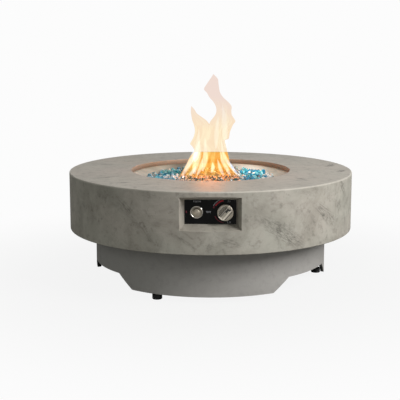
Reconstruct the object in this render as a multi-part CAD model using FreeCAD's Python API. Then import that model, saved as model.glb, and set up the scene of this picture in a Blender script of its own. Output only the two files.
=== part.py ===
"""Round gas fire pit table: cast top with a flared control recess, steel burner bowl with a ring
burner under fire glass, gas valve and push igniter behind a black panel, and a cut-out base drum
on three levelling feet. Millimetres, +Z up, origin on the ground under the centre, front at -Y."""
import FreeCAD, Part
import os
from math import cos, pi, radians, sin, sqrt, tan

V = FreeCAD.Vector

# Cast top
TABLE_RADIUS = 515.0
TABLE_HEIGHT = 394.0
SKIRT_HEIGHT = 206.0
SKIRT_WALL = 12.0
SLAB_THICKNESS = 14.0
SLAB_LIP = 7.0
TOP_EDGE_ROUND = 4.0
SKIRT_EDGE_ROUND = 2.5

# Burner opening, its bronze band and the ledge under it
OPENING_RADIUS = 290.0
BAND_HEIGHT = 18.0
BAND_THICKNESS = 2.0
LEDGE_THICKNESS = 10.0
LEDGE_SHOULDER = 20.0

# Burner bowl, a shallow spun dish
BOWL_RIM_INSET = 10.0
BOWL_DEPTH = 56.0
BOWL_SHEET = 1.2
BOWL_PAD_RADIUS = 40.0
BOWL_LEDGE_GAP = 4.0
BOWL_FLANGE_GAP = 1.0

# Fire glass
GLASS_DROP = 33.0
CHUNK_RADIUS = 9.0
CHUNK_HEIGHT = 10.0
CHUNK_COUNT = 190
CHUNK_EDGE_GAP = 12.0

# Ring burner, hub and air mixer
BURNER_FROM_RIM = 130.0
BURNER_TUBE_RADIUS = 9.5
BURNER_TUBE_WALL = 1.5
BURNER_BAR_RADIUS = 8.0
BURNER_COVER = 3.5
PORT_RADIUS = 1.3
PORT_COUNT = 24
HUB_RADIUS = 16.0
HUB_FLANGE_RADIUS = 20.0
HUB_FLANGE_HEIGHT = 4.0
SHANK_RADIUS = 12.0
SHANK_BORE = 8.0
SHANK_LENGTH = 24.0
WASHER_RADIUS = 25.0
WASHER_THICKNESS = 2.0
LOCKNUT_FLATS = 34.0
LOCKNUT_HEIGHT = 8.0
MIXER_LENGTH = 50.0
MIXER_RADIUS = 11.0
MIXER_WALL = 3.0
MIXER_SOCKET_WALL = 3.5
AIR_HOLE_RADIUS = 4.0
ELBOW_RADIUS = 9.0
ELBOW_HEIGHT = 30.0
ELBOW_REACH = 24.0
ORIFICE_RADIUS = 1.0

# Pilot hood with the electrode and the thermocouple
PILOT_OFFSET = 75.0
HOOD_WIDTH = 42.0
HOOD_DEPTH = 26.0
HOOD_SHEET = 1.5
HOOD_RISE = 5.0
HOOD_SLOT_WIDTH = 4.0
HOOD_FOOT_THICKNESS = 3.0
PROBE_SPACING = 9.0
PROBE_RADIUS = 3.5
PROBE_TIP_RADIUS = 1.2
PROBE_DEPTH_BELOW_BOWL = 24.0
PROBE_COLLAR_RADIUS = 6.0
PROBE_COLLAR_HEIGHT = 3.0
PROBE_TIP_GAP = 4.0
ELECTRODE_BODY_DROP = 12.0
THERMOCOUPLE_BODY_DROP = 16.0
THERMOCOUPLE_TIP_RADIUS = 1.9

# Control recess and panel
RECESS_CENTRE_DROP = 73.5
RECESS_DEPTH = 51.0
RECESS_OVERCUT = 5.0
PANEL_VISIBLE_WIDTH = 168.0
PANEL_VISIBLE_HEIGHT = 80.0
FLARE_SIDE = 0.39
FLARE_TOP = 0.33
RECESS_RIM = 18.0
PANEL_OVERLAP = 15.0
PANEL_THICKNESS = 2.0
PANEL_SCREW_INSET = 8.0
PANEL_SCREW_EDGE = 1.0
PANEL_SCREW_RADIUS = 2.0
PANEL_SCREW_DEPTH = 10.0
PANEL_SCREW_HEAD_RADIUS = 3.8
PANEL_SCREW_HEAD = 2.5

# Push igniter
IGNITER_X = -44.5
BEZEL_RADIUS = 21.0
BEZEL_PROUD = 8.0
BEZEL_WEB = 2.0
BUTTON_RADIUS = 15.5
BUTTON_PROUD = 10.0
BUTTON_TRAVEL = 4.0
BUTTON_STEM_RADIUS = 9.9
BUTTON_STEM_LENGTH = 15.0
BARREL_WALL = 2.9
BARREL_LENGTH = 24.0
IGNITER_NUT_FLATS = 32.0
IGNITER_NUT_HEIGHT = 5.0
HOUSING_WALL = 3.0
HOUSING_LENGTH = 70.0
HOUSING_FRONT_GAP = 1.0
BATTERY_RADIUS = 7.1
BATTERY_LENGTH = 48.0
SPRING_WALL = 1.2
SPRING_SIDE_GAP = 1.0
RIDGE_PITCH = 4.0
RIDGE_DEPTH = 0.8

# Gas valve and knob
KNOB_X = 48.0
KNOB_RADIUS = 26.25
KNOB_BODY_DEPTH = 16.0
KNOB_GRIP_HEIGHT = 9.0
KNOB_GRIP_WIDTH = 21.0
KNOB_GRIP_INSET = 1.5
KNOB_TURN_AT_REST = -41.0
KNOB_HOLLOW_RADIUS = 21.0
KNOB_HOLLOW_DEPTH = 10.0
KNOB_HUB_RADIUS = 8.0
KNOB_SETBACK_RADIUS = 9.0
KNOB_HUB_SETBACK = 4.0
KNOB_FLUTES = 30
KNOB_FLUTE_RADIUS = 1.3
KNOB_FLUTE_OUT = 0.52
KNOB_NOTCH_WIDTH = 5.0
KNOB_NOTCH_LENGTH = 9.0
KNOB_NOTCH_DEPTH = 1.2
KNOB_NOTCH_INSET = 4.0
KNOB_TRAVEL = 3.5
KNOB_REST_GAP = 0.7
STEM_RADIUS = 4.0
STEM_FLAT = 3.0
STEM_IN_KNOB = 12.0
STEM_IN_VALVE = 28.0
CLIP_THICKNESS = 0.8
VALVE_WIDTH = 36.0
VALVE_DEPTH = 44.0
VALVE_PLATE_WIDTH = 58.0
VALVE_PLATE_THICKNESS = 4.0
VALVE_BUSH_RADIUS = 7.0
VALVE_NUT_FLATS = 17.0
VALVE_NUT_HEIGHT = 3.5
PLUNGER_RADIUS = 5.0
PLUNGER_LENGTH = 10.0
VALVE_SPRING_LENGTH = 6.0
VALVE_SPRING_SIDE_GAP = 0.6
PORT_BOSS_RADIUS = 8.0
PORT_BOSS_LENGTH = 14.0
PORT_FROM_REAR = 16.0
MAGNET_BOSS_LENGTH = 18.0

# Gas tubes and leads
TUBE_RADIUS = 4.0
TUBE_WALL = 1.0
TUBE_BEND = 25.0
TUBE_SOCKET_DEPTH = 8.0
INLET_RUN_HEIGHT = 56.0
SUPPLY_RUN_OUT = 40.0
SUPPLY_DROP_RUN = 60.0
LEAD_RADIUS = 1.5
LEAD_BEND = 16.0
LEAD_HEIGHT = 74.0
LEAD_SAG = 4.0
LEAD_RUN_OUT = 60.0
LEAD_DROP_RUN = 66.0
LEAD_SOCKET_DEPTH = 5.0
LEAD_PASS_MIXER = 45.0
THERMO_REACH = 34.0
IGNITER_LEAD_RISE = 10.6

# Gas inlet fitting and tube clips
INLET_FROM_WALL = 110.0
INLET_THREAD_RADIUS = 7.94
INLET_THREAD_LENGTH = 14.0
INLET_NUT_FLATS = 24.0
INLET_NUT_HEIGHT = 6.0
INLET_SHANK_RADIUS = 9.0
INLET_NECK_RADIUS = 7.0
INLET_NECK_HEIGHT = 20.0
INLET_HEX_HEIGHT = 7.0
INLET_CONE = 3.0
CLIP_FRONT_Y = -250.0
CLIP_REAR_Y = 220.0
CLIP_WIDTH = 14.0
CLIP_SHEET = 2.0
CLIP_FOOT = 16.0
CLIP_SCREW_HEAD_RADIUS = 4.8
CLIP_SCREW_HEAD = 2.0
CLIP_SCREW_END = 2.0

# Deck, brackets and posts
DECK_THICKNESS = 3.0
DECK_RAISE = 3.0
DECK_GAP = 1.5
DECK_HOLE_RADIUS = 150.0
BRACKET_COUNT = 6
BRACKET_FIRST_ANGLE = 30.0
BRACKET_WIDTH = 40.0
BRACKET_SHEET = 4.0
BRACKET_HEIGHT = 46.0
BRACKET_REACH = 44.0
BRACKET_SCREW_HEIGHT = 27.6
POST_COUNT = 3
POST_FIRST_ANGLE = 60.0
POST_SIDE = 30.0
POST_WALL = 2.0
POST_PLATE = 64.0
POST_PLATE_THICKNESS = 4.0
POST_BOLT_SPACING = 48.0

# Fasteners
BOLT_RADIUS = 3.0
BOLT_FLATS = 10.0
BOLT_HEAD = 4.0
BOLT_LENGTH = 16.0
NUT_HEIGHT = 5.0
WALL_SCREW_DEPTH = 8.0
HOLE_CLEARANCE = 0.1
THREAD_CLEARANCE = 0.05
OVERCUT = 1.0

# Base drum
DRUM_RADIUS = 422.0
DRUM_WALL = 12.0
DRUM_LIFT = 23.0
DRUM_FLANGE_WIDTH = 30.0
DRUM_FLANGE_THICKNESS = 6.0
DRUM_BOLT_COUNT = 6
DRUM_BOLT_INSET = 27.0
DRUM_BOLT_SHIFT = 5.0
SEGMENT_COUNT = 3
SEGMENT_FIRST_ANGLE = -4.4
CUTOUT_RISE = 47.0
CUTOUT_OVERCUT = 10.0
CUTOUT_HALF_ANGLE_LOW = 25.15
CUTOUT_HALF_ANGLE_HIGH = 16.1

# Levelling feet
FOOT_FROM_WALL = 13.0
FOOT_FROM_SEGMENT = -22.5
PAD_RADIUS = 17.0
PAD_HEIGHT = 18.0
PAD_ROUND = 3.0
PAD_SOCKET_DEPTH = 4.0
STUD_RADIUS = 5.0
STUD_LENGTH = 56.0
STUD_COLLAR_FLATS = 17.0
STUD_COLLAR_HEIGHT = 6.5
STUD_COLLAR_GAP = 0.3
FOOT_NUT_HEIGHT = 8.0
FOOT_PLATE_LEVEL = 44.0
FOOT_PLATE_THICKNESS = 4.0
FOOT_PLATE_WIDTH = 60.0
FOOT_PLATE_INBOARD = 22.0
FOOT_BRACKET_HEIGHT = 60.0
FOOT_SCREW_LEVEL = 36.0
FOOT_SCREW_SPACING = 36.0

# Clearances that several pieces share
RUNNING_CLEARANCE = 0.08
BUTTON_CLEARANCE = 0.3
BAND_CLEARANCE = 0.3

# Levels and places that follow from the sizes above
SKIRT_BOTTOM = TABLE_HEIGHT - SKIRT_HEIGHT
SLAB_BOTTOM = TABLE_HEIGHT - SLAB_THICKNESS
SKIRT_INNER = TABLE_RADIUS - SKIRT_WALL
SEAM_LEVEL = TABLE_HEIGHT - SLAB_LIP
LEDGE_TOP = TABLE_HEIGHT - BAND_HEIGHT
LEDGE_BOTTOM = LEDGE_TOP - LEDGE_THICKNESS
SLAB_HOLE = OPENING_RADIUS + BAND_THICKNESS + BAND_CLEARANCE
DECK_BOTTOM = SKIRT_BOTTOM + DECK_RAISE
DECK_TOP = DECK_BOTTOM + DECK_THICKNESS
BOWL_RIM_RADIUS = OPENING_RADIUS - BOWL_RIM_INSET
BOWL_SPHERE = (BOWL_RIM_RADIUS ** 2 + BOWL_DEPTH ** 2) / (2 * BOWL_DEPTH)
BOWL_CENTRE = V(0, 0, LEDGE_TOP - BOWL_DEPTH + BOWL_SPHERE)
GLASS_LEVEL = TABLE_HEIGHT - GLASS_DROP
BURNER_RING_RADIUS = BOWL_RIM_RADIUS - BURNER_FROM_RIM
BURNER_LEVEL = GLASS_LEVEL - BURNER_COVER - BURNER_TUBE_RADIUS
CONTROL_LEVEL = TABLE_HEIGHT - RECESS_CENTRE_DROP
PANEL_FRONT = -(TABLE_RADIUS - RECESS_DEPTH)
PANEL_BACK = PANEL_FRONT + PANEL_THICKNESS
DRUM_INNER = DRUM_RADIUS - DRUM_WALL
FOOT_CIRCLE = DRUM_INNER - FOOT_FROM_WALL
INLET_Y = DRUM_INNER - INLET_FROM_WALL
POST_CIRCLE = (SLAB_HOLE + LEDGE_SHOULDER + DRUM_INNER - DRUM_FLANGE_WIDTH) / 2
KNOB_GAP = KNOB_TRAVEL + KNOB_REST_GAP
INLET_RUN_LEVEL = DECK_TOP + INLET_RUN_HEIGHT
LEAD_LEVEL = DECK_TOP + LEAD_HEIGHT
SKIRT_SCREW_LEVEL = DECK_TOP + BRACKET_SCREW_HEIGHT
CLIP_SCREW_X = KNOB_X + (CLIP_SHEET + CLIP_FOOT) / 2


def bowl_floor(radius):
    """Height of the bowl's inner surface at a distance from the centre."""
    return BOWL_CENTRE.z - sqrt(BOWL_SPHERE ** 2 - radius ** 2)


PAD_LEVEL = bowl_floor(BOWL_PAD_RADIUS)


def cyl(radius, low, high, x=0.0, y=0.0):
    return Part.makeCylinder(radius, high - low, V(x, y, low))


def cyl_y(radius, back_from, back_to, x, z):
    return Part.makeCylinder(radius, back_to - back_from, V(x, back_from, z), V(0, 1, 0))


def tube_z(outer, inner, low, high, x=0.0, y=0.0):
    return cyl(outer, low, high, x, y).cut(cyl(inner, low, high, x, y))


def tube_y(outer, inner, back_from, back_to, x, z):
    return cyl_y(outer, back_from, back_to, x, z).cut(cyl_y(inner, back_from, back_to, x, z))


def box(x_low, x_high, y_low, y_high, z_low, z_high):
    return Part.makeBox(x_high - x_low, y_high - y_low, z_high - z_low, V(x_low, y_low, z_low))


def prism(points, path):
    return Part.Face(Part.makePolygon(points + points[:1])).extrude(path)


def hexagon(flats, low, high, x=0.0, y=0.0):
    """Hexagonal prism along Z with two of its flats facing front and back."""
    corner = flats / sqrt(3)
    points = [V(x + corner * cos(radians(60 * k)), y + corner * sin(radians(60 * k)), low) for k in range(6)]
    return prism(points, V(0, 0, high - low))


def lay_back(shape, x, z, y):
    """Turn a piece built along Z round the origin so that its +Z points to -Y, and place it."""
    turned = shape.copy()
    turned.rotate(V(0, 0, 0), V(1, 0, 0), 90)
    turned.translate(V(x, y, z))
    return turned


def about_axis(shape, angle):
    turned = shape.copy()
    turned.rotate(V(0, 0, 0), V(0, 0, 1), angle)
    return turned


def around(shape, count, first_angle):
    """Copies of a piece built at the front, evenly spaced about the table's axis."""
    return [about_axis(shape, first_angle + k * 360.0 / count) for k in range(count)]


def turned_profile(points):
    """Solid of revolution about Z from a closed outline of (radius, height) points."""
    outline = [V(r, 0, z) for r, z in points]
    return Part.Face(Part.makePolygon(outline + outline[:1])).revolve(V(0, 0, 0), V(0, 0, 1), 360)


def round_circle(shape, radius, level, size):
    """Round the circular edges of one radius at one level."""
    edges = [
        e
        for e in shape.Edges
        if isinstance(e.Curve, Part.Circle)
        and abs(e.Curve.Radius - radius) < 0.01
        and abs(e.Curve.Center.z - level) < 0.01
    ]
    return shape.makeFillet(size, edges)


def fuse(pieces):
    return pieces[0].multiFuse(pieces[1:]).removeSplitter()


def save(name, shape):
    solids = shape.Solids
    group = solids[0] if len(solids) == 1 else Part.makeCompound(solids)
    group.exportStep("parts/" + name + ".step")
    print(name, len(solids), "solids", round(sum(s.Volume for s in solids)), group.isValid())


def bent_path(points, bend):
    """Straight runs joined by tangent arcs of one radius."""
    edges = []
    start = points[0]
    for before, corner, after in zip(points, points[1:], points[2:]):
        arrive = (corner - before).normalize()
        leave = (after - corner).normalize()
        turn = arrive.getAngle(leave)
        cut = bend * tan(turn / 2)
        arc_start = corner - arrive * cut
        arc_end = corner + leave * cut
        inward = (leave - arrive).normalize()
        middle = corner + inward * (bend / cos(turn / 2) - bend)
        edges.append(Part.LineSegment(start, arc_start).toShape())
        edges.append(Part.Arc(arc_start, middle, arc_end).toShape())
        start = arc_end
    edges.append(Part.LineSegment(start, points[-1]).toShape())
    return Part.Wire(edges)


def swept(points, bend, radius):
    path = bent_path(points, bend)
    direction = (points[1] - points[0]).normalize()
    section = Part.Wire([Part.makeCircle(radius, points[0], direction)])
    solid = path.makePipeShell([section], True, False)
    ratio = solid.Volume / (pi * radius ** 2 * path.Length)
    print("  run", round(path.Length), "volume ratio", round(ratio, 4))
    return solid


def bolt(x, y, seat):
    """Hex bolt whose head lies under the seat and whose shank stands up through it."""
    head = hexagon(BOLT_FLATS, seat - BOLT_HEAD, seat, x, y)
    return fuse([head, cyl(BOLT_RADIUS, seat, seat + BOLT_LENGTH, x, y)])


def nut(x, y, seat, flats=BOLT_FLATS, height=NUT_HEIGHT, radius=BOLT_RADIUS):
    body = hexagon(flats, seat, seat + height, x, y)
    return body.cut(cyl(radius + THREAD_CLEARANCE, seat, seat + height, x, y))


def bolt_hole(x, y, low, high):
    return cyl(BOLT_RADIUS + HOLE_CLEARANCE, low, high, x, y)


def wall_screw(seat_y, x, z, depth):
    """Screw along -Y with its head against a seat inside the wall."""
    head = lay_back(hexagon(BOLT_FLATS, 0, BOLT_HEAD), x, z, seat_y + BOLT_HEAD)
    return fuse([head, cyl_y(BOLT_RADIUS, seat_y - depth, seat_y, x, z)])


# Bolt places on the deck, each as (radius, offset along the front's X, angle about the axis)
BRACKET_BOLT_RADIUS = SKIRT_INNER - BRACKET_REACH / 2
DRUM_BOLT_RADIUS = DRUM_RADIUS - DRUM_BOLT_INSET


def deck_bolt_places():
    """Places of the deck bolts with the height of the metal stack that each holds."""
    places = []
    for k in range(BRACKET_COUNT):
        places.append((0.0, BRACKET_BOLT_RADIUS, BRACKET_FIRST_ANGLE + k * 360.0 / BRACKET_COUNT, "bracket"))
    for k in range(DRUM_BOLT_COUNT):
        places.append((0.0, DRUM_BOLT_RADIUS, drum_bolt_angle(k), "drum"))
    for k in range(POST_COUNT):
        for side in (-1, 1):
            angle = POST_FIRST_ANGLE + k * 360.0 / POST_COUNT
            places.append((side * POST_BOLT_SPACING / 2, POST_CIRCLE, angle, "post"))
    return places


def drum_bolt_angle(k):
    return SEGMENT_FIRST_ANGLE + (k + 0.5) * 360.0 / DRUM_BOLT_COUNT + DRUM_BOLT_SHIFT


def make_top_slab():
    """Cast slab with the burner ledge under its opening and a lip that sits on the skirt."""
    outline = [
        (TABLE_RADIUS, SEAM_LEVEL),
        (TABLE_RADIUS, TABLE_HEIGHT),
        (SLAB_HOLE, TABLE_HEIGHT),
        (SLAB_HOLE, LEDGE_TOP),
        (BOWL_RIM_RADIUS + BOWL_LEDGE_GAP, LEDGE_TOP),
        (BOWL_RIM_RADIUS + BOWL_LEDGE_GAP, LEDGE_BOTTOM),
        (SLAB_HOLE + LEDGE_SHOULDER, LEDGE_BOTTOM),
        (SLAB_HOLE + LEDGE_SHOULDER, SLAB_BOTTOM),
        (SKIRT_INNER, SLAB_BOTTOM),
        (SKIRT_INNER, SEAM_LEVEL),
    ]
    return round_circle(turned_profile(outline), TABLE_RADIUS, TABLE_HEIGHT, TOP_EDGE_ROUND)


def make_skirt():
    """Cast ring wall with the flared control recess."""
    skirt = tube_z(TABLE_RADIUS, SKIRT_INNER, SKIRT_BOTTOM, SEAM_LEVEL)
    skirt = round_circle(skirt, TABLE_RADIUS, SKIRT_BOTTOM, SKIRT_EDGE_ROUND)
    skirt = skirt.fuse(recess_walls()).removeSplitter()
    skirt = skirt.cut(recess_hollow())
    hole = wall_screw_hole(SKIRT_INNER, 0, SKIRT_SCREW_LEVEL)
    screws = around(hole, BRACKET_COUNT, BRACKET_FIRST_ANGLE)
    return skirt.cut(Part.makeCompound(screws + panel_screw_holes()))


def wall_screw_hole(wall_radius, x, z):
    depth = WALL_SCREW_DEPTH + OVERCUT
    return cyl_y(BOLT_RADIUS + HOLE_CLEARANCE, -wall_radius - depth, -wall_radius + OVERCUT, x, z)


def rectangle(half_width, half_height, y):
    points = [
        V(-half_width, y, CONTROL_LEVEL - half_height),
        V(half_width, y, CONTROL_LEVEL - half_height),
        V(half_width, y, CONTROL_LEVEL + half_height),
        V(-half_width, y, CONTROL_LEVEL + half_height),
    ]
    return Part.makePolygon(points + points[:1])


def recess_hollow():
    """The flared space in front of the panel, past the skirt's outer face."""
    reach = RECESS_DEPTH + RECESS_OVERCUT
    back = rectangle(PANEL_VISIBLE_WIDTH / 2, PANEL_VISIBLE_HEIGHT / 2, PANEL_FRONT)
    front = rectangle(
        PANEL_VISIBLE_WIDTH / 2 + FLARE_SIDE * reach,
        PANEL_VISIBLE_HEIGHT / 2 + FLARE_TOP * reach,
        PANEL_FRONT - reach,
    )
    return Part.makeLoft([back, front], True, True)


def recess_walls():
    """Cast walls of the recess, joined to the skirt at the middle of its wall."""
    back = rectangle(
        PANEL_VISIBLE_WIDTH / 2 + RECESS_RIM, PANEL_VISIBLE_HEIGHT / 2 + RECESS_RIM, PANEL_FRONT
    )
    front = rectangle(
        PANEL_VISIBLE_WIDTH / 2 + RECESS_RIM + FLARE_SIDE * RECESS_DEPTH,
        PANEL_VISIBLE_HEIGHT / 2 + RECESS_RIM + FLARE_TOP * RECESS_DEPTH,
        PANEL_FRONT - RECESS_DEPTH,
    )
    block = Part.makeLoft([back, front], True, True)
    keep = cyl(TABLE_RADIUS - SKIRT_WALL / 2, SKIRT_BOTTOM, SLAB_BOTTOM)
    return block.common(keep)


def panel_screw_places():
    half_width = PANEL_VISIBLE_WIDTH / 2 + PANEL_OVERLAP - PANEL_SCREW_INSET / 2 - PANEL_SCREW_EDGE
    half_height = PANEL_VISIBLE_HEIGHT / 2 + PANEL_SCREW_INSET
    return [(sx * half_width, CONTROL_LEVEL + sz * half_height) for sx in (-1, 1) for sz in (-1, 1)]


def panel_screw_holes():
    depth = PANEL_SCREW_DEPTH + OVERCUT
    radius = PANEL_SCREW_RADIUS + HOLE_CLEARANCE
    return [cyl_y(radius, PANEL_FRONT - depth, PANEL_BACK, x, z) for x, z in panel_screw_places()]


def make_panel_plate():
    half_width = PANEL_VISIBLE_WIDTH / 2 + PANEL_OVERLAP
    half_height = PANEL_VISIBLE_HEIGHT / 2 + PANEL_OVERLAP
    plate = box(-half_width, half_width, PANEL_FRONT, PANEL_BACK,
                CONTROL_LEVEL - half_height, CONTROL_LEVEL + half_height)
    barrel = BUTTON_STEM_RADIUS + RUNNING_CLEARANCE + BARREL_WALL
    holes = panel_screw_holes()
    holes.append(cyl_y(barrel + HOLE_CLEARANCE, PANEL_FRONT, PANEL_BACK, IGNITER_X, CONTROL_LEVEL))
    holes.append(cyl_y(VALVE_BUSH_RADIUS + HOLE_CLEARANCE, PANEL_FRONT, PANEL_BACK, KNOB_X, CONTROL_LEVEL))
    return plate.cut(Part.makeCompound(holes))


def make_panel_screws():
    screws = []
    for x, z in panel_screw_places():
        head = cyl_y(PANEL_SCREW_HEAD_RADIUS, PANEL_BACK, PANEL_BACK + PANEL_SCREW_HEAD, x, z)
        shank = cyl_y(PANEL_SCREW_RADIUS, PANEL_FRONT - PANEL_SCREW_DEPTH, PANEL_BACK, x, z)
        screws.append(fuse([head, shank]))
    return Part.makeCompound(screws)


def make_opening_band():
    band = tube_z(OPENING_RADIUS + BAND_THICKNESS, OPENING_RADIUS, LEDGE_TOP, TABLE_HEIGHT)
    return round_circle(band, OPENING_RADIUS, TABLE_HEIGHT, BAND_THICKNESS * 0.4)


def make_burner_bowl():
    inner = Part.makeSphere(BOWL_SPHERE, BOWL_CENTRE)
    outer = Part.makeSphere(BOWL_SPHERE + BOWL_SHEET, BOWL_CENTRE)
    dish = outer.common(cyl(OPENING_RADIUS, PAD_LEVEL - BOWL_SHEET, LEDGE_TOP))
    dish = dish.cut(inner.common(cyl(OPENING_RADIUS, PAD_LEVEL, LEDGE_TOP)))
    flange = tube_z(OPENING_RADIUS - BOWL_FLANGE_GAP, BOWL_RIM_RADIUS, LEDGE_TOP, LEDGE_TOP + BOWL_SHEET)
    holes = [cyl(SHANK_RADIUS + HOLE_CLEARANCE, PAD_LEVEL - BOWL_DEPTH, GLASS_LEVEL)]
    holes += [probe_hole(x) for x in (-PROBE_SPACING, PROBE_SPACING)]
    return dish.fuse(flange).removeSplitter().cut(Part.makeCompound(holes))


def probe_hole(x):
    radius = PROBE_RADIUS + HOLE_CLEARANCE
    return cyl(radius, PAD_LEVEL - PROBE_DEPTH_BELOW_BOWL, GLASS_LEVEL, x, PILOT_OFFSET)


def bowl_space():
    """Everything above the bowl's inner surface, up to its rim."""
    return Part.makeSphere(BOWL_SPHERE, BOWL_CENTRE).common(cyl(BOWL_RIM_RADIUS, PAD_LEVEL, LEDGE_TOP))


def make_glass_bed():
    """The body of the glass fill, with room for the burner, its hub and the pilot hood."""
    top_of_tube = BURNER_LEVEL + BURNER_TUBE_RADIUS
    groove = BURNER_TUBE_RADIUS + HOOD_SHEET
    bed = bowl_space().common(cyl(BOWL_RIM_RADIUS, PAD_LEVEL, GLASS_LEVEL))
    ring_room = tube_z(BURNER_RING_RADIUS + groove, BURNER_RING_RADIUS - groove, 0, top_of_tube)
    bar_room = box(-BURNER_RING_RADIUS, BURNER_RING_RADIUS, -groove, groove, 0, top_of_tube)
    hub_room = cyl(WASHER_RADIUS + HOOD_SHEET, 0, top_of_tube)
    hood_room = box(-HOOD_WIDTH / 2 - HOOD_SHEET, HOOD_WIDTH / 2 + HOOD_SHEET,
                    PILOT_OFFSET - HOOD_DEPTH / 2 - HOOD_SHEET, PILOT_OFFSET + HOOD_DEPTH / 2 + HOOD_SHEET,
                    0, TABLE_HEIGHT)
    return bed.cut(ring_room).cut(bar_room).cut(hub_room).cut(hood_room)


def scatter(index, salt):
    """A steady number from 0 to 1 for each index."""
    value = sin(index * 12.9898 + salt * 78.233) * 43758.5453
    return value - int(value) if value > 0 else value - int(value) + 1


def glass_chunk(index, x, y):
    """One broken piece: a six-sided lump, flat below and smaller above."""
    low, high = [], []
    height = CHUNK_HEIGHT * (0.75 + 0.4 * scatter(index, 1))
    turn = 60 * scatter(index, 2)
    lean_x = CHUNK_RADIUS * 0.15 * (scatter(index, 3) - 0.5)
    lean_y = CHUNK_RADIUS * 0.15 * (scatter(index, 4) - 0.5)
    for k in range(6):
        angle = radians(turn + 60 * k)
        reach = CHUNK_RADIUS * (0.8 + 0.3 * scatter(index, 5 + k))
        low.append(V(x + reach * cos(angle), y + reach * sin(angle), GLASS_LEVEL))
        high.append(V(x + lean_x + 0.6 * reach * cos(angle), y + lean_y + 0.6 * reach * sin(angle),
                      GLASS_LEVEL + height))
    return Part.makeLoft([Part.makePolygon(low + low[:1]), Part.makePolygon(high + high[:1])], True, True)


def make_glass_chunks(kind):
    """Chunks of one colour on the bed, on a sunflower spiral; kind is 0, 1 or 2."""
    level_radius = sqrt(BOWL_SPHERE ** 2 - (BOWL_CENTRE.z - GLASS_LEVEL) ** 2)
    chunks = []
    for index in range(CHUNK_COUNT):
        radius = (level_radius - CHUNK_EDGE_GAP) * sqrt((index + 0.5) / CHUNK_COUNT)
        angle = radians(index * 137.508)
        x, y = radius * cos(angle), radius * sin(angle)
        clear_x = HOOD_WIDTH / 2 + CHUNK_RADIUS * 1.3
        clear_y = HOOD_DEPTH / 2 + CHUNK_RADIUS * 1.3
        by_hood = abs(x) < clear_x and abs(y - PILOT_OFFSET) < clear_y
        if index % 3 == kind and not by_hood:
            chunks.append(glass_chunk(index, x, y))
    return Part.makeCompound(chunks)


def burner_solid(tube_radius, bar_radius, hub_radius, hub_top):
    """Ring, crossbar and hub as one shape, for the outside and for the bore."""
    ring = Part.makeTorus(BURNER_RING_RADIUS, tube_radius, V(0, 0, BURNER_LEVEL))
    bar = Part.makeCylinder(bar_radius, 2 * BURNER_RING_RADIUS, V(-BURNER_RING_RADIUS, 0, BURNER_LEVEL),
                            V(1, 0, 0))
    hub = cyl(hub_radius, PAD_LEVEL + WASHER_THICKNESS + HUB_FLANGE_HEIGHT, hub_top)
    return ring.fuse(bar).fuse(hub)


def make_burner_ring():
    flange_low = PAD_LEVEL + WASHER_THICKNESS
    hub_top = BURNER_LEVEL + BURNER_TUBE_RADIUS
    burner = burner_solid(BURNER_TUBE_RADIUS, BURNER_BAR_RADIUS, HUB_RADIUS, hub_top)
    burner = burner.fuse(cyl(HUB_FLANGE_RADIUS, flange_low, flange_low + HUB_FLANGE_HEIGHT))
    burner = burner.fuse(cyl(SHANK_RADIUS, flange_low - SHANK_LENGTH, flange_low))
    hollow = burner_solid(
        BURNER_TUBE_RADIUS - BURNER_TUBE_WALL,
        BURNER_BAR_RADIUS - BURNER_TUBE_WALL,
        SHANK_BORE,
        hub_top - BURNER_TUBE_WALL,
    )
    burner = burner.cut(hollow)
    burner = burner.cut(cyl(SHANK_BORE, flange_low - SHANK_LENGTH, BURNER_LEVEL))
    ports = []
    for k in range(PORT_COUNT):
        angle = radians((k + 0.5) * 360.0 / PORT_COUNT)
        x, y = BURNER_RING_RADIUS * cos(angle), BURNER_RING_RADIUS * sin(angle)
        ports.append(cyl(PORT_RADIUS, BURNER_LEVEL, BURNER_LEVEL + 2 * BURNER_TUBE_RADIUS, x, y))
    return burner.cut(Part.makeCompound(ports)).removeSplitter()


def make_burner_washer():
    return tube_z(WASHER_RADIUS, SHANK_RADIUS + HOLE_CLEARANCE, PAD_LEVEL, PAD_LEVEL + WASHER_THICKNESS)


def make_burner_locknut():
    seat = PAD_LEVEL - BOWL_SHEET
    return nut(0, 0, seat - LOCKNUT_HEIGHT, LOCKNUT_FLATS, LOCKNUT_HEIGHT, SHANK_RADIUS)


MIXER_TOP = PAD_LEVEL - BOWL_SHEET - LOCKNUT_HEIGHT
SHANK_END = PAD_LEVEL + WASHER_THICKNESS - SHANK_LENGTH
MIXER_BOTTOM = SHANK_END - MIXER_LENGTH


def make_air_mixer():
    """Brass mixer: a socket that screws onto the shank and a body with four air holes."""
    socket = SHANK_RADIUS + THREAD_CLEARANCE
    mixer = fuse([cyl(socket + MIXER_SOCKET_WALL, SHANK_END - MIXER_WALL, MIXER_TOP),
                  cyl(MIXER_RADIUS, MIXER_BOTTOM, SHANK_END)])
    mixer = mixer.cut(cyl(socket, SHANK_END, MIXER_TOP))
    mixer = mixer.cut(cyl(MIXER_RADIUS - MIXER_WALL, MIXER_BOTTOM + MIXER_WALL, SHANK_END))
    mixer = mixer.cut(cyl(ORIFICE_RADIUS, MIXER_BOTTOM, MIXER_BOTTOM + MIXER_WALL))
    level = MIXER_BOTTOM + MIXER_LENGTH * 0.3
    start = 1.5 * MIXER_RADIUS
    cross = [
        Part.makeCylinder(AIR_HOLE_RADIUS, 2 * start, V(-start, 0, level), V(1, 0, 0)),
        Part.makeCylinder(AIR_HOLE_RADIUS, 2 * start, V(0, -start, level), V(0, 1, 0)),
    ]
    return mixer.cut(Part.makeCompound(cross))


ELBOW_LEVEL = MIXER_BOTTOM - ELBOW_HEIGHT + ELBOW_RADIUS


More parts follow.
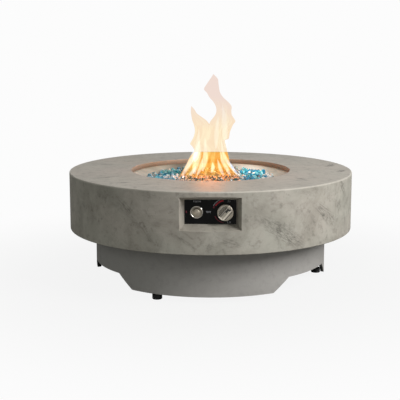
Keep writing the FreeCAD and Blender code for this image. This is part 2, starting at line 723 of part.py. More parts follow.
def make_orifice_elbow():
    body = fuse([cyl(ELBOW_RADIUS, MIXER_BOTTOM - ELBOW_HEIGHT, MIXER_BOTTOM),
                 cyl_y(ELBOW_RADIUS - 1.0, -ELBOW_REACH, 0, 0, ELBOW_LEVEL)])
    body = body.cut(cyl(ORIFICE_RADIUS, ELBOW_LEVEL, MIXER_BOTTOM))
    body = body.cut(cyl_y(TUBE_RADIUS - TUBE_WALL, -ELBOW_REACH, 0, 0, ELBOW_LEVEL))
    socket = TUBE_RADIUS + THREAD_CLEARANCE
    return body.cut(cyl_y(socket, -ELBOW_REACH, -ELBOW_REACH + TUBE_SOCKET_DEPTH, 0, ELBOW_LEVEL))


HOOD_FOOT_LEVEL = bowl_floor(PILOT_OFFSET + HOOD_DEPTH / 2) + HOOD_FOOT_THICKNESS


def make_pilot_hood():
    """Sheet hood that shelters both probes; its foot follows the bowl."""
    back = PILOT_OFFSET + HOOD_DEPTH / 2
    front = PILOT_OFFSET - HOOD_DEPTH / 2
    top = GLASS_LEVEL + HOOD_RISE
    hood = box(-HOOD_WIDTH / 2, HOOD_WIDTH / 2, front, back, PAD_LEVEL, top)
    hood = hood.common(bowl_space())
    hood = hood.cut(box(-HOOD_WIDTH / 2 + HOOD_SHEET, HOOD_WIDTH / 2 - HOOD_SHEET, front,
                        back - HOOD_SHEET, HOOD_FOOT_LEVEL, top - HOOD_SHEET))
    slots = [box(x - HOOD_SLOT_WIDTH / 2, x + HOOD_SLOT_WIDTH / 2, front + HOOD_SLOT_WIDTH,
                 back - HOOD_SLOT_WIDTH, top - HOOD_SHEET, top)
             for x in (-HOOD_WIDTH / 4, 0, HOOD_WIDTH / 4)]
    holes = [probe_hole(x) for x in (-PROBE_SPACING, PROBE_SPACING)]
    return hood.cut(Part.makeCompound(slots)).cut(Part.makeCompound(holes))


PROBE_BOTTOM = PAD_LEVEL - PROBE_DEPTH_BELOW_BOWL


def make_probe(x, body_top, tip_radius):
    """Electrode or thermocouple: a stem with a collar on the hood's foot and a thin tip."""
    pieces = [
        cyl(PROBE_RADIUS, PROBE_BOTTOM, body_top, x, PILOT_OFFSET),
        cyl(PROBE_COLLAR_RADIUS, HOOD_FOOT_LEVEL, HOOD_FOOT_LEVEL + PROBE_COLLAR_HEIGHT, x, PILOT_OFFSET),
        cyl(tip_radius, body_top, GLASS_LEVEL + HOOD_RISE - HOOD_SHEET - PROBE_TIP_GAP, x, PILOT_OFFSET),
    ]
    probe = fuse(pieces)
    return probe.cut(cyl(LEAD_RADIUS + THREAD_CLEARANCE, PROBE_BOTTOM, PROBE_BOTTOM + LEAD_SOCKET_DEPTH,
                         x, PILOT_OFFSET))


BARREL_BORE = BUTTON_STEM_RADIUS + RUNNING_CLEARANCE
BARREL_RADIUS = BARREL_BORE + BARREL_WALL
BEZEL_WEB_FRONT = PANEL_FRONT - BEZEL_WEB
BARREL_BACK = PANEL_FRONT + BARREL_LENGTH
BUTTON_FRONT = PANEL_FRONT - BUTTON_PROUD
BUTTON_BACK = BEZEL_WEB_FRONT - BUTTON_TRAVEL - BUTTON_CLEARANCE
STEM_BACK = BUTTON_BACK + BUTTON_STEM_LENGTH + BUTTON_TRAVEL


def make_igniter_bezel():
    web = tube_y(BEZEL_RADIUS, BARREL_BORE, BEZEL_WEB_FRONT, PANEL_FRONT, IGNITER_X, CONTROL_LEVEL)
    rim = tube_y(BEZEL_RADIUS, BUTTON_RADIUS + BUTTON_CLEARANCE, PANEL_FRONT - BEZEL_PROUD, BEZEL_WEB_FRONT,
                 IGNITER_X, CONTROL_LEVEL)
    barrel = tube_y(BARREL_RADIUS, BARREL_BORE, PANEL_FRONT, BARREL_BACK, IGNITER_X, CONTROL_LEVEL)
    bezel = fuse([web, rim, barrel])
    front = [
        e
        for e in bezel.Edges
        if isinstance(e.Curve, Part.Circle)
        and abs(e.Curve.Radius - BEZEL_RADIUS) < 0.01
        and abs(e.Curve.Center.y - (PANEL_FRONT - BEZEL_PROUD)) < 0.01
    ]
    return bezel.makeFillet((BEZEL_RADIUS - BUTTON_RADIUS) * 0.4, front)


def make_igniter_button():
    """Cap with concentric ridges on a stem that slides in the bezel's barrel."""
    cap = cyl_y(BUTTON_RADIUS, BUTTON_FRONT, BUTTON_BACK, IGNITER_X, CONTROL_LEVEL)
    stem = cyl_y(BUTTON_STEM_RADIUS, BUTTON_BACK, STEM_BACK, IGNITER_X, CONTROL_LEVEL)
    button = fuse([cap, stem])
    grooves = []
    radius = RIDGE_PITCH
    while radius < BUTTON_RADIUS - 1.5:
        grooves.append(tube_y(radius + RIDGE_PITCH / 4, radius - RIDGE_PITCH / 4, BUTTON_FRONT,
                              BUTTON_FRONT + RIDGE_DEPTH, IGNITER_X, CONTROL_LEVEL))
        radius += RIDGE_PITCH
    return button.cut(Part.makeCompound(grooves))


def make_igniter_nut():
    """Panel nut behind the plate."""
    ring = lay_back(hexagon(IGNITER_NUT_FLATS, 0, IGNITER_NUT_HEIGHT), IGNITER_X, CONTROL_LEVEL,
                    PANEL_BACK + IGNITER_NUT_HEIGHT)
    return ring.cut(cyl_y(BARREL_RADIUS + THREAD_CLEARANCE, PANEL_BACK, PANEL_BACK + IGNITER_NUT_HEIGHT,
                          IGNITER_X, CONTROL_LEVEL))


HOUSING_FRONT = PANEL_BACK + IGNITER_NUT_HEIGHT + HOUSING_FRONT_GAP
HOUSING_BACK = HOUSING_FRONT + HOUSING_LENGTH
HOUSING_RADIUS = BARREL_RADIUS + HOUSING_WALL


def make_igniter_housing():
    """Spark module and battery holder that screws onto the back of the barrel."""
    body = cyl_y(HOUSING_RADIUS, HOUSING_FRONT, HOUSING_BACK, IGNITER_X, CONTROL_LEVEL)
    body = body.cut(cyl_y(BARREL_RADIUS + THREAD_CLEARANCE, HOUSING_FRONT, BARREL_BACK, IGNITER_X,
                          CONTROL_LEVEL))
    cavity_front = BARREL_BACK + HOUSING_WALL
    body = body.cut(cyl_y(BATTERY_RADIUS + HOLE_CLEARANCE, cavity_front, cavity_front + BATTERY_LENGTH,
                          IGNITER_X, CONTROL_LEVEL))
    return body.cut(cyl_y(LEAD_RADIUS + THREAD_CLEARANCE, HOUSING_BACK - LEAD_SOCKET_DEPTH, HOUSING_BACK,
                          IGNITER_X, CONTROL_LEVEL + IGNITER_LEAD_RISE))


def make_igniter_battery():
    front = BARREL_BACK + HOUSING_WALL
    return cyl_y(BATTERY_RADIUS, front, front + BATTERY_LENGTH, IGNITER_X, CONTROL_LEVEL)


def make_igniter_spring():
    """Return spring behind the button's stem."""
    outer = BUTTON_STEM_RADIUS - SPRING_SIDE_GAP
    return tube_y(outer, outer - SPRING_WALL, STEM_BACK, BARREL_BACK, IGNITER_X, CONTROL_LEVEL)


VALVE_FRONT = PANEL_BACK + VALVE_PLATE_THICKNESS
VALVE_BACK = VALVE_FRONT + VALVE_DEPTH
VALVE_PORT_Y = VALVE_BACK - PORT_FROM_REAR
STEM_FRONT = PANEL_FRONT - KNOB_GAP - KNOB_HUB_SETBACK - STEM_IN_KNOB
STEM_BACK_END = PANEL_FRONT + STEM_IN_VALVE
VALVE_HALF = VALVE_WIDTH / 2


def make_gas_valve_body():
    body = box(KNOB_X - VALVE_HALF, KNOB_X + VALVE_HALF, VALVE_FRONT, VALVE_BACK,
               CONTROL_LEVEL - VALVE_HALF, CONTROL_LEVEL + VALVE_HALF)
    plate = box(KNOB_X - VALVE_PLATE_WIDTH / 2, KNOB_X + VALVE_PLATE_WIDTH / 2, PANEL_BACK, VALVE_FRONT,
                CONTROL_LEVEL - VALVE_HALF, CONTROL_LEVEL + VALVE_HALF)
    bush = cyl_y(VALVE_BUSH_RADIUS, PANEL_FRONT - VALVE_NUT_HEIGHT, PANEL_BACK, KNOB_X, CONTROL_LEVEL)
    inlet = Part.makeCylinder(PORT_BOSS_RADIUS, PORT_BOSS_LENGTH,
                              V(KNOB_X, VALVE_PORT_Y, CONTROL_LEVEL - VALVE_HALF), V(0, 0, -1))
    outlet = cyl_y(PORT_BOSS_RADIUS, VALVE_BACK, VALVE_BACK + PORT_BOSS_LENGTH, KNOB_X,
                   CONTROL_LEVEL - VALVE_HALF / 2)
    magnet = Part.makeCylinder(PORT_BOSS_RADIUS, MAGNET_BOSS_LENGTH,
                               V(KNOB_X + VALVE_HALF, VALVE_PORT_Y, CONTROL_LEVEL), V(1, 0, 0))
    body = fuse([body, plate, bush, inlet, outlet, magnet])
    bore = cyl_y(STEM_RADIUS + RUNNING_CLEARANCE, PANEL_FRONT - VALVE_NUT_HEIGHT, STEM_BACK_END, KNOB_X,
                 CONTROL_LEVEL)
    chamber = cyl_y(PLUNGER_RADIUS + RUNNING_CLEARANCE, STEM_BACK_END,
                    STEM_BACK_END + PLUNGER_LENGTH + VALVE_SPRING_LENGTH, KNOB_X, CONTROL_LEVEL)
    socket = TUBE_RADIUS + THREAD_CLEARANCE
    inlet_socket = Part.makeCylinder(socket, TUBE_SOCKET_DEPTH, VALVE_INLET, V(0, 0, 1))
    outlet_socket = cyl_y(socket, VALVE_OUTLET.y - TUBE_SOCKET_DEPTH, VALVE_OUTLET.y, KNOB_X, VALVE_OUTLET.z)
    lead_socket = Part.makeCylinder(LEAD_RADIUS + THREAD_CLEARANCE, LEAD_SOCKET_DEPTH, VALVE_MAGNET,
                                    V(-1, 0, 0))
    sockets = Part.makeCompound([inlet_socket, outlet_socket, lead_socket])
    return body.cut(bore).cut(chamber).cut(sockets)


# Mouths of the valve's ports
VALVE_INLET = V(KNOB_X, VALVE_PORT_Y, CONTROL_LEVEL - VALVE_HALF - PORT_BOSS_LENGTH)
VALVE_OUTLET = V(KNOB_X, VALVE_BACK + PORT_BOSS_LENGTH, CONTROL_LEVEL - VALVE_HALF / 2)
VALVE_MAGNET = V(KNOB_X + VALVE_HALF + MAGNET_BOSS_LENGTH, VALVE_PORT_Y, CONTROL_LEVEL)


def make_valve_nut():
    """Nut in front of the panel that holds the valve, hidden under the knob."""
    ring = lay_back(hexagon(VALVE_NUT_FLATS, 0, VALVE_NUT_HEIGHT), KNOB_X, CONTROL_LEVEL, PANEL_FRONT)
    return ring.cut(cyl_y(VALVE_BUSH_RADIUS + THREAD_CLEARANCE, PANEL_FRONT - VALVE_NUT_HEIGHT, PANEL_FRONT,
                          KNOB_X, CONTROL_LEVEL))


def turn_knob(shape):
    """Set a piece built with the grip upright to the angle at which the knob stands."""
    turned = shape.copy()
    turned.rotate(V(KNOB_X, 0, CONTROL_LEVEL), V(0, -1, 0), KNOB_TURN_AT_REST)
    return turned


def stem_flat_cut(depth):
    """Space beyond the stem's flat, inside the knob."""
    reach = STEM_RADIUS + OVERCUT
    return box(KNOB_X + STEM_FLAT, KNOB_X + reach, STEM_FRONT, STEM_FRONT + depth,
               CONTROL_LEVEL - reach, CONTROL_LEVEL + reach)


def make_valve_stem():
    """D-shaft of the valve."""
    stem = cyl_y(STEM_RADIUS, STEM_FRONT, STEM_BACK_END, KNOB_X, CONTROL_LEVEL)
    return turn_knob(stem.cut(stem_flat_cut(STEM_IN_KNOB)))


KNOB_BACK = PANEL_FRONT - KNOB_GAP
KNOB_FACE = KNOB_BACK - KNOB_BODY_DEPTH


def make_control_knob():
    """Fluted knob with a raised grip across its face and a hollow back."""
    disc = cyl_y(KNOB_RADIUS, KNOB_FACE, KNOB_BACK, KNOB_X, CONTROL_LEVEL)
    grip = box(KNOB_X - KNOB_GRIP_WIDTH / 2, KNOB_X + KNOB_GRIP_WIDTH / 2, KNOB_FACE - KNOB_GRIP_HEIGHT,
               KNOB_FACE, CONTROL_LEVEL - KNOB_RADIUS, CONTROL_LEVEL + KNOB_RADIUS)
    grip_round = cyl_y(KNOB_RADIUS - KNOB_GRIP_INSET, KNOB_FACE - KNOB_GRIP_HEIGHT, KNOB_FACE, KNOB_X,
                       CONTROL_LEVEL)
    grip = grip.common(grip_round)
    knob = fuse([disc, grip])
    hollow = tube_y(KNOB_HOLLOW_RADIUS, KNOB_HUB_RADIUS, KNOB_BACK - KNOB_HOLLOW_DEPTH, KNOB_BACK, KNOB_X,
                    CONTROL_LEVEL)
    setback = cyl_y(KNOB_SETBACK_RADIUS, KNOB_BACK - KNOB_HUB_SETBACK, KNOB_BACK, KNOB_X, CONTROL_LEVEL)
    knob = knob.cut(hollow).cut(setback)
    knob = knob.cut(cyl_y(STEM_RADIUS + THREAD_CLEARANCE, STEM_FRONT, KNOB_BACK, KNOB_X, CONTROL_LEVEL))
    flutes = []
    flute_circle = KNOB_RADIUS + KNOB_FLUTE_OUT
    for k in range(KNOB_FLUTES):
        angle = radians((k + 0.5) * 360.0 / KNOB_FLUTES)
        x = KNOB_X + flute_circle * cos(angle)
        z = CONTROL_LEVEL + flute_circle * sin(angle)
        flutes.append(cyl_y(KNOB_FLUTE_RADIUS, KNOB_FACE, KNOB_BACK, x, z))
    knob = knob.cut(Part.makeCompound(flutes))
    notch_top = CONTROL_LEVEL + KNOB_RADIUS - KNOB_NOTCH_INSET
    notch = box(KNOB_X - KNOB_NOTCH_WIDTH / 2, KNOB_X + KNOB_NOTCH_WIDTH / 2,
                KNOB_FACE - KNOB_GRIP_HEIGHT, KNOB_FACE - KNOB_GRIP_HEIGHT + KNOB_NOTCH_DEPTH,
                notch_top - KNOB_NOTCH_LENGTH, notch_top)
    return turn_knob(knob.cut(notch))


def make_knob_clip():
    """Steel strip that grips the flat of the stem inside the knob."""
    flat = KNOB_X + STEM_FLAT
    strip = box(flat, flat + CLIP_THICKNESS, STEM_FRONT, STEM_FRONT + STEM_IN_KNOB,
                CONTROL_LEVEL - CLIP_THICKNESS, CONTROL_LEVEL + CLIP_THICKNESS)
    return turn_knob(strip.common(cyl_y(STEM_RADIUS, STEM_FRONT, STEM_BACK_END, KNOB_X, CONTROL_LEVEL)))


def make_valve_plunger():
    return cyl_y(PLUNGER_RADIUS, STEM_BACK_END, STEM_BACK_END + PLUNGER_LENGTH, KNOB_X, CONTROL_LEVEL)


def make_valve_spring():
    """Return spring behind the plunger."""
    front = STEM_BACK_END + PLUNGER_LENGTH
    outer = PLUNGER_RADIUS - VALVE_SPRING_SIDE_GAP
    return tube_y(outer, outer - SPRING_WALL, front, front + VALVE_SPRING_LENGTH, KNOB_X, CONTROL_LEVEL)


def gas_tube(points):
    return swept(points, TUBE_BEND, TUBE_RADIUS).cut(swept(points, TUBE_BEND, TUBE_RADIUS - TUBE_WALL))


def make_gas_inlet_tube():
    """From the bulkhead fitting, over the deck, up into the valve."""
    points = [
        VALVE_INLET + V(0, 0, TUBE_SOCKET_DEPTH),
        V(KNOB_X, VALVE_PORT_Y, INLET_RUN_LEVEL),
        V(KNOB_X, INLET_Y, INLET_RUN_LEVEL),
        V(KNOB_X, INLET_Y, INLET_NECK_TOP - TUBE_SOCKET_DEPTH),
    ]
    return gas_tube(points)


def make_gas_supply_tube():
    """From the valve's outlet down and back to the elbow under the mixer."""
    points = [
        VALVE_OUTLET - V(0, TUBE_SOCKET_DEPTH, 0),
        VALVE_OUTLET + V(0, SUPPLY_RUN_OUT, 0),
        V(0, VALVE_OUTLET.y + SUPPLY_RUN_OUT + SUPPLY_DROP_RUN, ELBOW_LEVEL),
        V(0, -ELBOW_REACH + TUBE_SOCKET_DEPTH, ELBOW_LEVEL),
    ]
    return gas_tube(points)


INLET_NECK_TOP = DECK_TOP + INLET_NECK_HEIGHT


def make_gas_inlet_fitting():
    """Bulkhead fitting through the deck: tube socket above, male hose thread below."""
    thread_start = DECK_BOTTOM - INLET_NUT_HEIGHT
    thread_end = thread_start - INLET_THREAD_LENGTH
    pieces = [
        cyl(INLET_NECK_RADIUS, DECK_TOP, INLET_NECK_TOP, KNOB_X, INLET_Y),
        hexagon(INLET_NUT_FLATS, DECK_TOP, DECK_TOP + INLET_HEX_HEIGHT, KNOB_X, INLET_Y),
        cyl(INLET_SHANK_RADIUS, thread_start, DECK_TOP, KNOB_X, INLET_Y),
        cyl(INLET_THREAD_RADIUS, thread_end, thread_start, KNOB_X, INLET_Y),
        Part.makeCone(INLET_THREAD_RADIUS - INLET_CONE, INLET_THREAD_RADIUS, INLET_CONE,
                      V(KNOB_X, INLET_Y, thread_end - INLET_CONE)),
    ]
    body = fuse(pieces)
    body = body.cut(cyl(TUBE_RADIUS - TUBE_WALL, thread_end - INLET_CONE, INLET_NECK_TOP, KNOB_X, INLET_Y))
    return body.cut(cyl(TUBE_RADIUS + THREAD_CLEARANCE, INLET_NECK_TOP - TUBE_SOCKET_DEPTH, INLET_NECK_TOP,
                        KNOB_X, INLET_Y))


def make_inlet_locknut():
    return nut(KNOB_X, INLET_Y, DECK_BOTTOM - INLET_NUT_HEIGHT, INLET_NUT_FLATS, INLET_NUT_HEIGHT,
               INLET_SHANK_RADIUS)


def make_tube_clips():
    """Upright strips on the deck whose heads wrap the inlet tube."""
    clips = []
    hold = TUBE_RADIUS + THREAD_CLEARANCE
    for y in (CLIP_FRONT_Y, CLIP_REAR_Y):
        low, high = y - CLIP_WIDTH / 2, y + CLIP_WIDTH / 2
        upright = box(KNOB_X - CLIP_SHEET / 2, KNOB_X + CLIP_SHEET / 2, low, high, DECK_TOP,
                      INLET_RUN_LEVEL - hold)
        foot = box(KNOB_X - CLIP_SHEET / 2, KNOB_X + CLIP_FOOT, low, high, DECK_TOP, DECK_TOP + CLIP_SHEET)
        head = cyl_y(hold + CLIP_SHEET, low, high, KNOB_X, INLET_RUN_LEVEL)
        clip = fuse([upright, foot, head]).cut(cyl_y(hold, low, high, KNOB_X, INLET_RUN_LEVEL))
        clips.append(clip.cut(bolt_hole(CLIP_SCREW_X, y, DECK_TOP, DECK_TOP + CLIP_SHEET)))
    return Part.makeCompound(clips)


def make_clip_screws():
    screws = []
    for y in (CLIP_FRONT_Y, CLIP_REAR_Y):
        seat = DECK_TOP + CLIP_SHEET
        screws.append(fuse([cyl(CLIP_SCREW_HEAD_RADIUS, seat, seat + CLIP_SCREW_HEAD, CLIP_SCREW_X, y),
                            cyl(BOLT_RADIUS, DECK_BOTTOM - CLIP_SCREW_END, seat, CLIP_SCREW_X, y)]))
    return Part.makeCompound(screws)


def make_igniter_lead():
    """Spark lead from the housing, round the mixer, up into the electrode."""
    start = V(IGNITER_X, HOUSING_BACK - LEAD_SOCKET_DEPTH, CONTROL_LEVEL + IGNITER_LEAD_RISE)
    points = [
        start,
        V(IGNITER_X, HOUSING_BACK + LEAD_RUN_OUT, start.z),
        V(IGNITER_X, HOUSING_BACK + LEAD_RUN_OUT + LEAD_DROP_RUN, LEAD_LEVEL),
        V(-LEAD_PASS_MIXER, 0, LEAD_LEVEL - LEAD_SAG),
        V(-PROBE_SPACING, PILOT_OFFSET, LEAD_LEVEL),
        V(-PROBE_SPACING, PILOT_OFFSET, PROBE_BOTTOM + LEAD_SOCKET_DEPTH),
    ]
    return swept(points, LEAD_BEND, LEAD_RADIUS)


def make_thermocouple_lead():
    """Copper lead from the thermocouple to the valve's magnet unit."""
    turn_x = VALVE_MAGNET.x + THERMO_REACH
    points = [
        VALVE_MAGNET - V(LEAD_SOCKET_DEPTH, 0, 0),
        V(turn_x, VALVE_PORT_Y, CONTROL_LEVEL),
        V(turn_x, VALVE_PORT_Y + LEAD_RUN_OUT + LEAD_DROP_RUN, LEAD_LEVEL),
        V(LEAD_PASS_MIXER, 0, LEAD_LEVEL - LEAD_SAG),
        V(PROBE_SPACING, PILOT_OFFSET, LEAD_LEVEL),
        V(PROBE_SPACING, PILOT_OFFSET, PROBE_BOTTOM + LEAD_SOCKET_DEPTH),
    ]
    return swept(points, LEAD_BEND, LEAD_RADIUS)


def make_deck_plate():
    """Steel plate that closes the skirt and carries the top on the drum."""
    plate = tube_z(SKIRT_INNER - DECK_GAP, DECK_HOLE_RADIUS, DECK_BOTTOM, DECK_TOP)
    holes = []
    for x, radius, angle, _ in deck_bolt_places():
        holes.append(about_axis(bolt_hole(x, -radius, DECK_BOTTOM, DECK_TOP), angle))
    holes.append(cyl(INLET_SHANK_RADIUS + HOLE_CLEARANCE, DECK_BOTTOM, DECK_TOP, KNOB_X, INLET_Y))
    for y in (CLIP_FRONT_Y, CLIP_REAR_Y):
        holes.append(bolt_hole(CLIP_SCREW_X, y, DECK_BOTTOM, DECK_TOP))
    return plate.cut(Part.makeCompound(holes))


def make_deck_bolts():
    """Bolts from below through the deck; the drum's reach through its flange as well."""
    bolts = []
    for x, radius, angle, kind in deck_bolt_places():
        seat = DECK_BOTTOM - (DRUM_FLANGE_THICKNESS if kind == "drum" else 0.0)
        bolts.append(about_axis(bolt(x, -radius, seat), angle))
    return Part.makeCompound(bolts)


def make_deck_nuts():
    raised = {"bracket": BRACKET_SHEET, "drum": 0.0, "post": POST_PLATE_THICKNESS}
    return Part.makeCompound([about_axis(nut(x, -radius, DECK_TOP + raised[kind]), angle)
                              for x, radius, angle, kind in deck_bolt_places()])


def make_deck_brackets():
    """Angle brackets that screw the skirt to the deck."""
    half = BRACKET_WIDTH / 2
    leg_inner = SKIRT_INNER - BRACKET_SHEET
    foot = box(-half, half, -SKIRT_INNER, -SKIRT_INNER + BRACKET_REACH, DECK_TOP, DECK_TOP + BRACKET_SHEET)
    leg = box(-half, half, -SKIRT_INNER, -leg_inner, DECK_TOP, DECK_TOP + BRACKET_HEIGHT)
    bracket = fuse([foot, leg]).common(cyl(SKIRT_INNER, DECK_TOP, DECK_TOP + BRACKET_HEIGHT))
    bracket = bracket.cut(bolt_hole(0, -BRACKET_BOLT_RADIUS, DECK_TOP, DECK_TOP + BRACKET_SHEET))
    bracket = bracket.cut(wall_screw_hole(SKIRT_INNER - BRACKET_SHEET, 0, SKIRT_SCREW_LEVEL))
    return Part.makeCompound(around(bracket, BRACKET_COUNT, BRACKET_FIRST_ANGLE))


def make_skirt_screws():
    """Screws from inside the skirt through the deck brackets."""
    screw = wall_screw(-SKIRT_INNER + BRACKET_SHEET, 0, SKIRT_SCREW_LEVEL, BRACKET_SHEET + WALL_SCREW_DEPTH)
    return Part.makeCompound(around(screw, BRACKET_COUNT, BRACKET_FIRST_ANGLE))


def make_foot_screws():
    """Screws from inside the drum through the foot brackets."""
    screws = []
    for side in (-1, 1):
        foot = wall_screw(-DRUM_INNER + BRACKET_SHEET, side * FOOT_SCREW_SPACING / 2,
                          FOOT_PLATE_LEVEL + FOOT_SCREW_LEVEL, BRACKET_SHEET + WALL_SCREW_DEPTH)
        screws += around(foot, SEGMENT_COUNT, SEGMENT_FIRST_ANGLE + FOOT_FROM_SEGMENT)
    return Part.makeCompound(screws)


def make_support_posts():
    """Square posts between the deck and the slab, with plates at both ends."""
    y = -POST_CIRCLE
    half = POST_SIDE / 2
    inner = half - POST_WALL
    plate = POST_PLATE / 2
    outside = box(-half, half, y - half, y + half, DECK_TOP, SLAB_BOTTOM)
    inside = box(-inner, inner, y - inner, y + inner, DECK_TOP + POST_PLATE_THICKNESS,
                 SLAB_BOTTOM - POST_PLATE_THICKNESS)
    low = box(-plate, plate, y - half, y + half, DECK_TOP, DECK_TOP + POST_PLATE_THICKNESS)
    high = box(-plate, plate, y - half, y + half, SLAB_BOTTOM - POST_PLATE_THICKNESS, SLAB_BOTTOM)
    post = fuse([outside, low, high]).cut(inside)
    for side in (-1, 1):
        post = post.cut(bolt_hole(side * POST_BOLT_SPACING / 2, y, DECK_TOP, DECK_TOP + POST_PLATE_THICKNESS))
    return Part.makeCompound(around(post, POST_COUNT, POST_FIRST_ANGLE))


def make_base_drum():
    """Drum with an inward flange at its top and three chamfered cut-outs at its foot."""
    drum = fuse([
        tube_z(DRUM_RADIUS, DRUM_INNER, DRUM_LIFT, DECK_BOTTOM),
        tube_z(DRUM_RADIUS, DRUM_INNER - DRUM_FLANGE_WIDTH, DECK_BOTTOM - DRUM_FLANGE_THICKNESS, DECK_BOTTOM),
    ])
    wide = DRUM_RADIUS * sin(radians(CUTOUT_HALF_ANGLE_LOW))
    narrow = DRUM_RADIUS * sin(radians(CUTOUT_HALF_ANGLE_HIGH))
    slope = (wide - narrow) / CUTOUT_RISE
    below = CUTOUT_OVERCUT
    y = -DRUM_RADIUS - CUTOUT_OVERCUT
    outline = [
        V(-wide - slope * below, y, DRUM_LIFT - below),
        V(wide + slope * below, y, DRUM_LIFT - below),
        V(narrow, y, DRUM_LIFT + CUTOUT_RISE),
        V(-narrow, y, DRUM_LIFT + CUTOUT_RISE),
    ]
    notch = prism(outline, V(0, DRUM_RADIUS * 0.4, 0))
    half_pitch = 180.0 / SEGMENT_COUNT
    drum = drum.cut(Part.makeCompound(around(notch, SEGMENT_COUNT, SEGMENT_FIRST_ANGLE + half_pitch)))
    holes = []
    for k in range(DRUM_BOLT_COUNT):
        hole = bolt_hole(0, -DRUM_BOLT_RADIUS, DECK_BOTTOM - DRUM_FLANGE_THICKNESS, DECK_BOTTOM)
        holes.append(about_axis(hole, drum_bolt_angle(k)))
    for side in (-1, 1):
        across = side * FOOT_SCREW_SPACING / 2
        screw = wall_screw_hole(DRUM_INNER, across, FOOT_PLATE_LEVEL + FOOT_SCREW_LEVEL)
        holes += around(screw, SEGMENT_COUNT, SEGMENT_FIRST_ANGLE + FOOT_FROM_SEGMENT)
    return drum.cut(Part.makeCompound(holes))


def foot_angle(k):
    return SEGMENT_FIRST_ANGLE + FOOT_FROM_SEGMENT + k * 360.0 / SEGMENT_COUNT


def make_foot_bracket():
    """Welded bracket inside the drum wall, with a threaded plate for the stud."""
    half = FOOT_PLATE_WIDTH / 2
    inboard = -FOOT_CIRCLE + FOOT_PLATE_INBOARD
    back = -DRUM_INNER + BRACKET_SHEET
    plate_top = FOOT_PLATE_LEVEL + FOOT_PLATE_THICKNESS
    top = FOOT_PLATE_LEVEL + FOOT_BRACKET_HEIGHT
    plate = box(-half, half, -DRUM_RADIUS, inboard, FOOT_PLATE_LEVEL, plate_top)
    upright = box(-half, half, -DRUM_RADIUS, back, FOOT_PLATE_LEVEL, top)
    pieces = [plate, upright]
    for x in (-half, half - FOOT_PLATE_THICKNESS):
        outline = [V(x, back, plate_top), V(x, inboard, plate_top), V(x, back, top)]
        pieces.append(prism(outline, V(FOOT_PLATE_THICKNESS, 0, 0)))
    bracket = fuse(pieces).common(cyl(DRUM_INNER, FOOT_PLATE_LEVEL, top))
    bracket = bracket.cut(cyl(STUD_RADIUS + THREAD_CLEARANCE, FOOT_PLATE_LEVEL, plate_top, 0, -FOOT_CIRCLE))
    for side in (-1, 1):
        bracket = bracket.cut(wall_screw_hole(DRUM_INNER - BRACKET_SHEET, side * FOOT_SCREW_SPACING / 2,
                                              FOOT_PLATE_LEVEL + FOOT_SCREW_LEVEL))
    return bracket


def make_foot_nuts():
    """Weld nut on each bracket's plate and jam nut under it."""
    above = nut(0, -FOOT_CIRCLE, FOOT_PLATE_LEVEL + FOOT_PLATE_THICKNESS, STUD_COLLAR_FLATS, FOOT_NUT_HEIGHT,
                STUD_RADIUS)
    below = nut(0, -FOOT_CIRCLE, FOOT_PLATE_LEVEL - FOOT_NUT_HEIGHT, STUD_COLLAR_FLATS, FOOT_NUT_HEIGHT,
                STUD_RADIUS)
    nuts = []
    for one in (above, below):
        nuts += around(one, SEGMENT_COUNT, foot_angle(0))
    return Part.makeCompound(nuts)


def make_foot_stud():
    """Threaded stud with a hexagon collar above the pad."""
    low = PAD_HEIGHT - PAD_SOCKET_DEPTH
    collar = PAD_HEIGHT + STUD_COLLAR_GAP
    return fuse([cyl(STUD_RADIUS, low, low + STUD_LENGTH, 0, -FOOT_CIRCLE),
                 hexagon(STUD_COLLAR_FLATS, collar, collar + STUD_COLLAR_HEIGHT, 0, -FOOT_CIRCLE)])


def make_foot_pad():
    """Round pad with a socket for the end of the stud."""
    pad = round_circle(cyl(PAD_RADIUS, 0, PAD_HEIGHT), PAD_RADIUS, 0, PAD_ROUND)
    pad = round_circle(pad, PAD_RADIUS, PAD_HEIGHT, PAD_ROUND / 2)
    pad = pad.cut(cyl(STUD_RADIUS + RUNNING_CLEARANCE, PAD_HEIGHT - PAD_SOCKET_DEPTH, PAD_HEIGHT))
    pad.translate(V(0, -FOOT_CIRCLE, 0))
    return pad


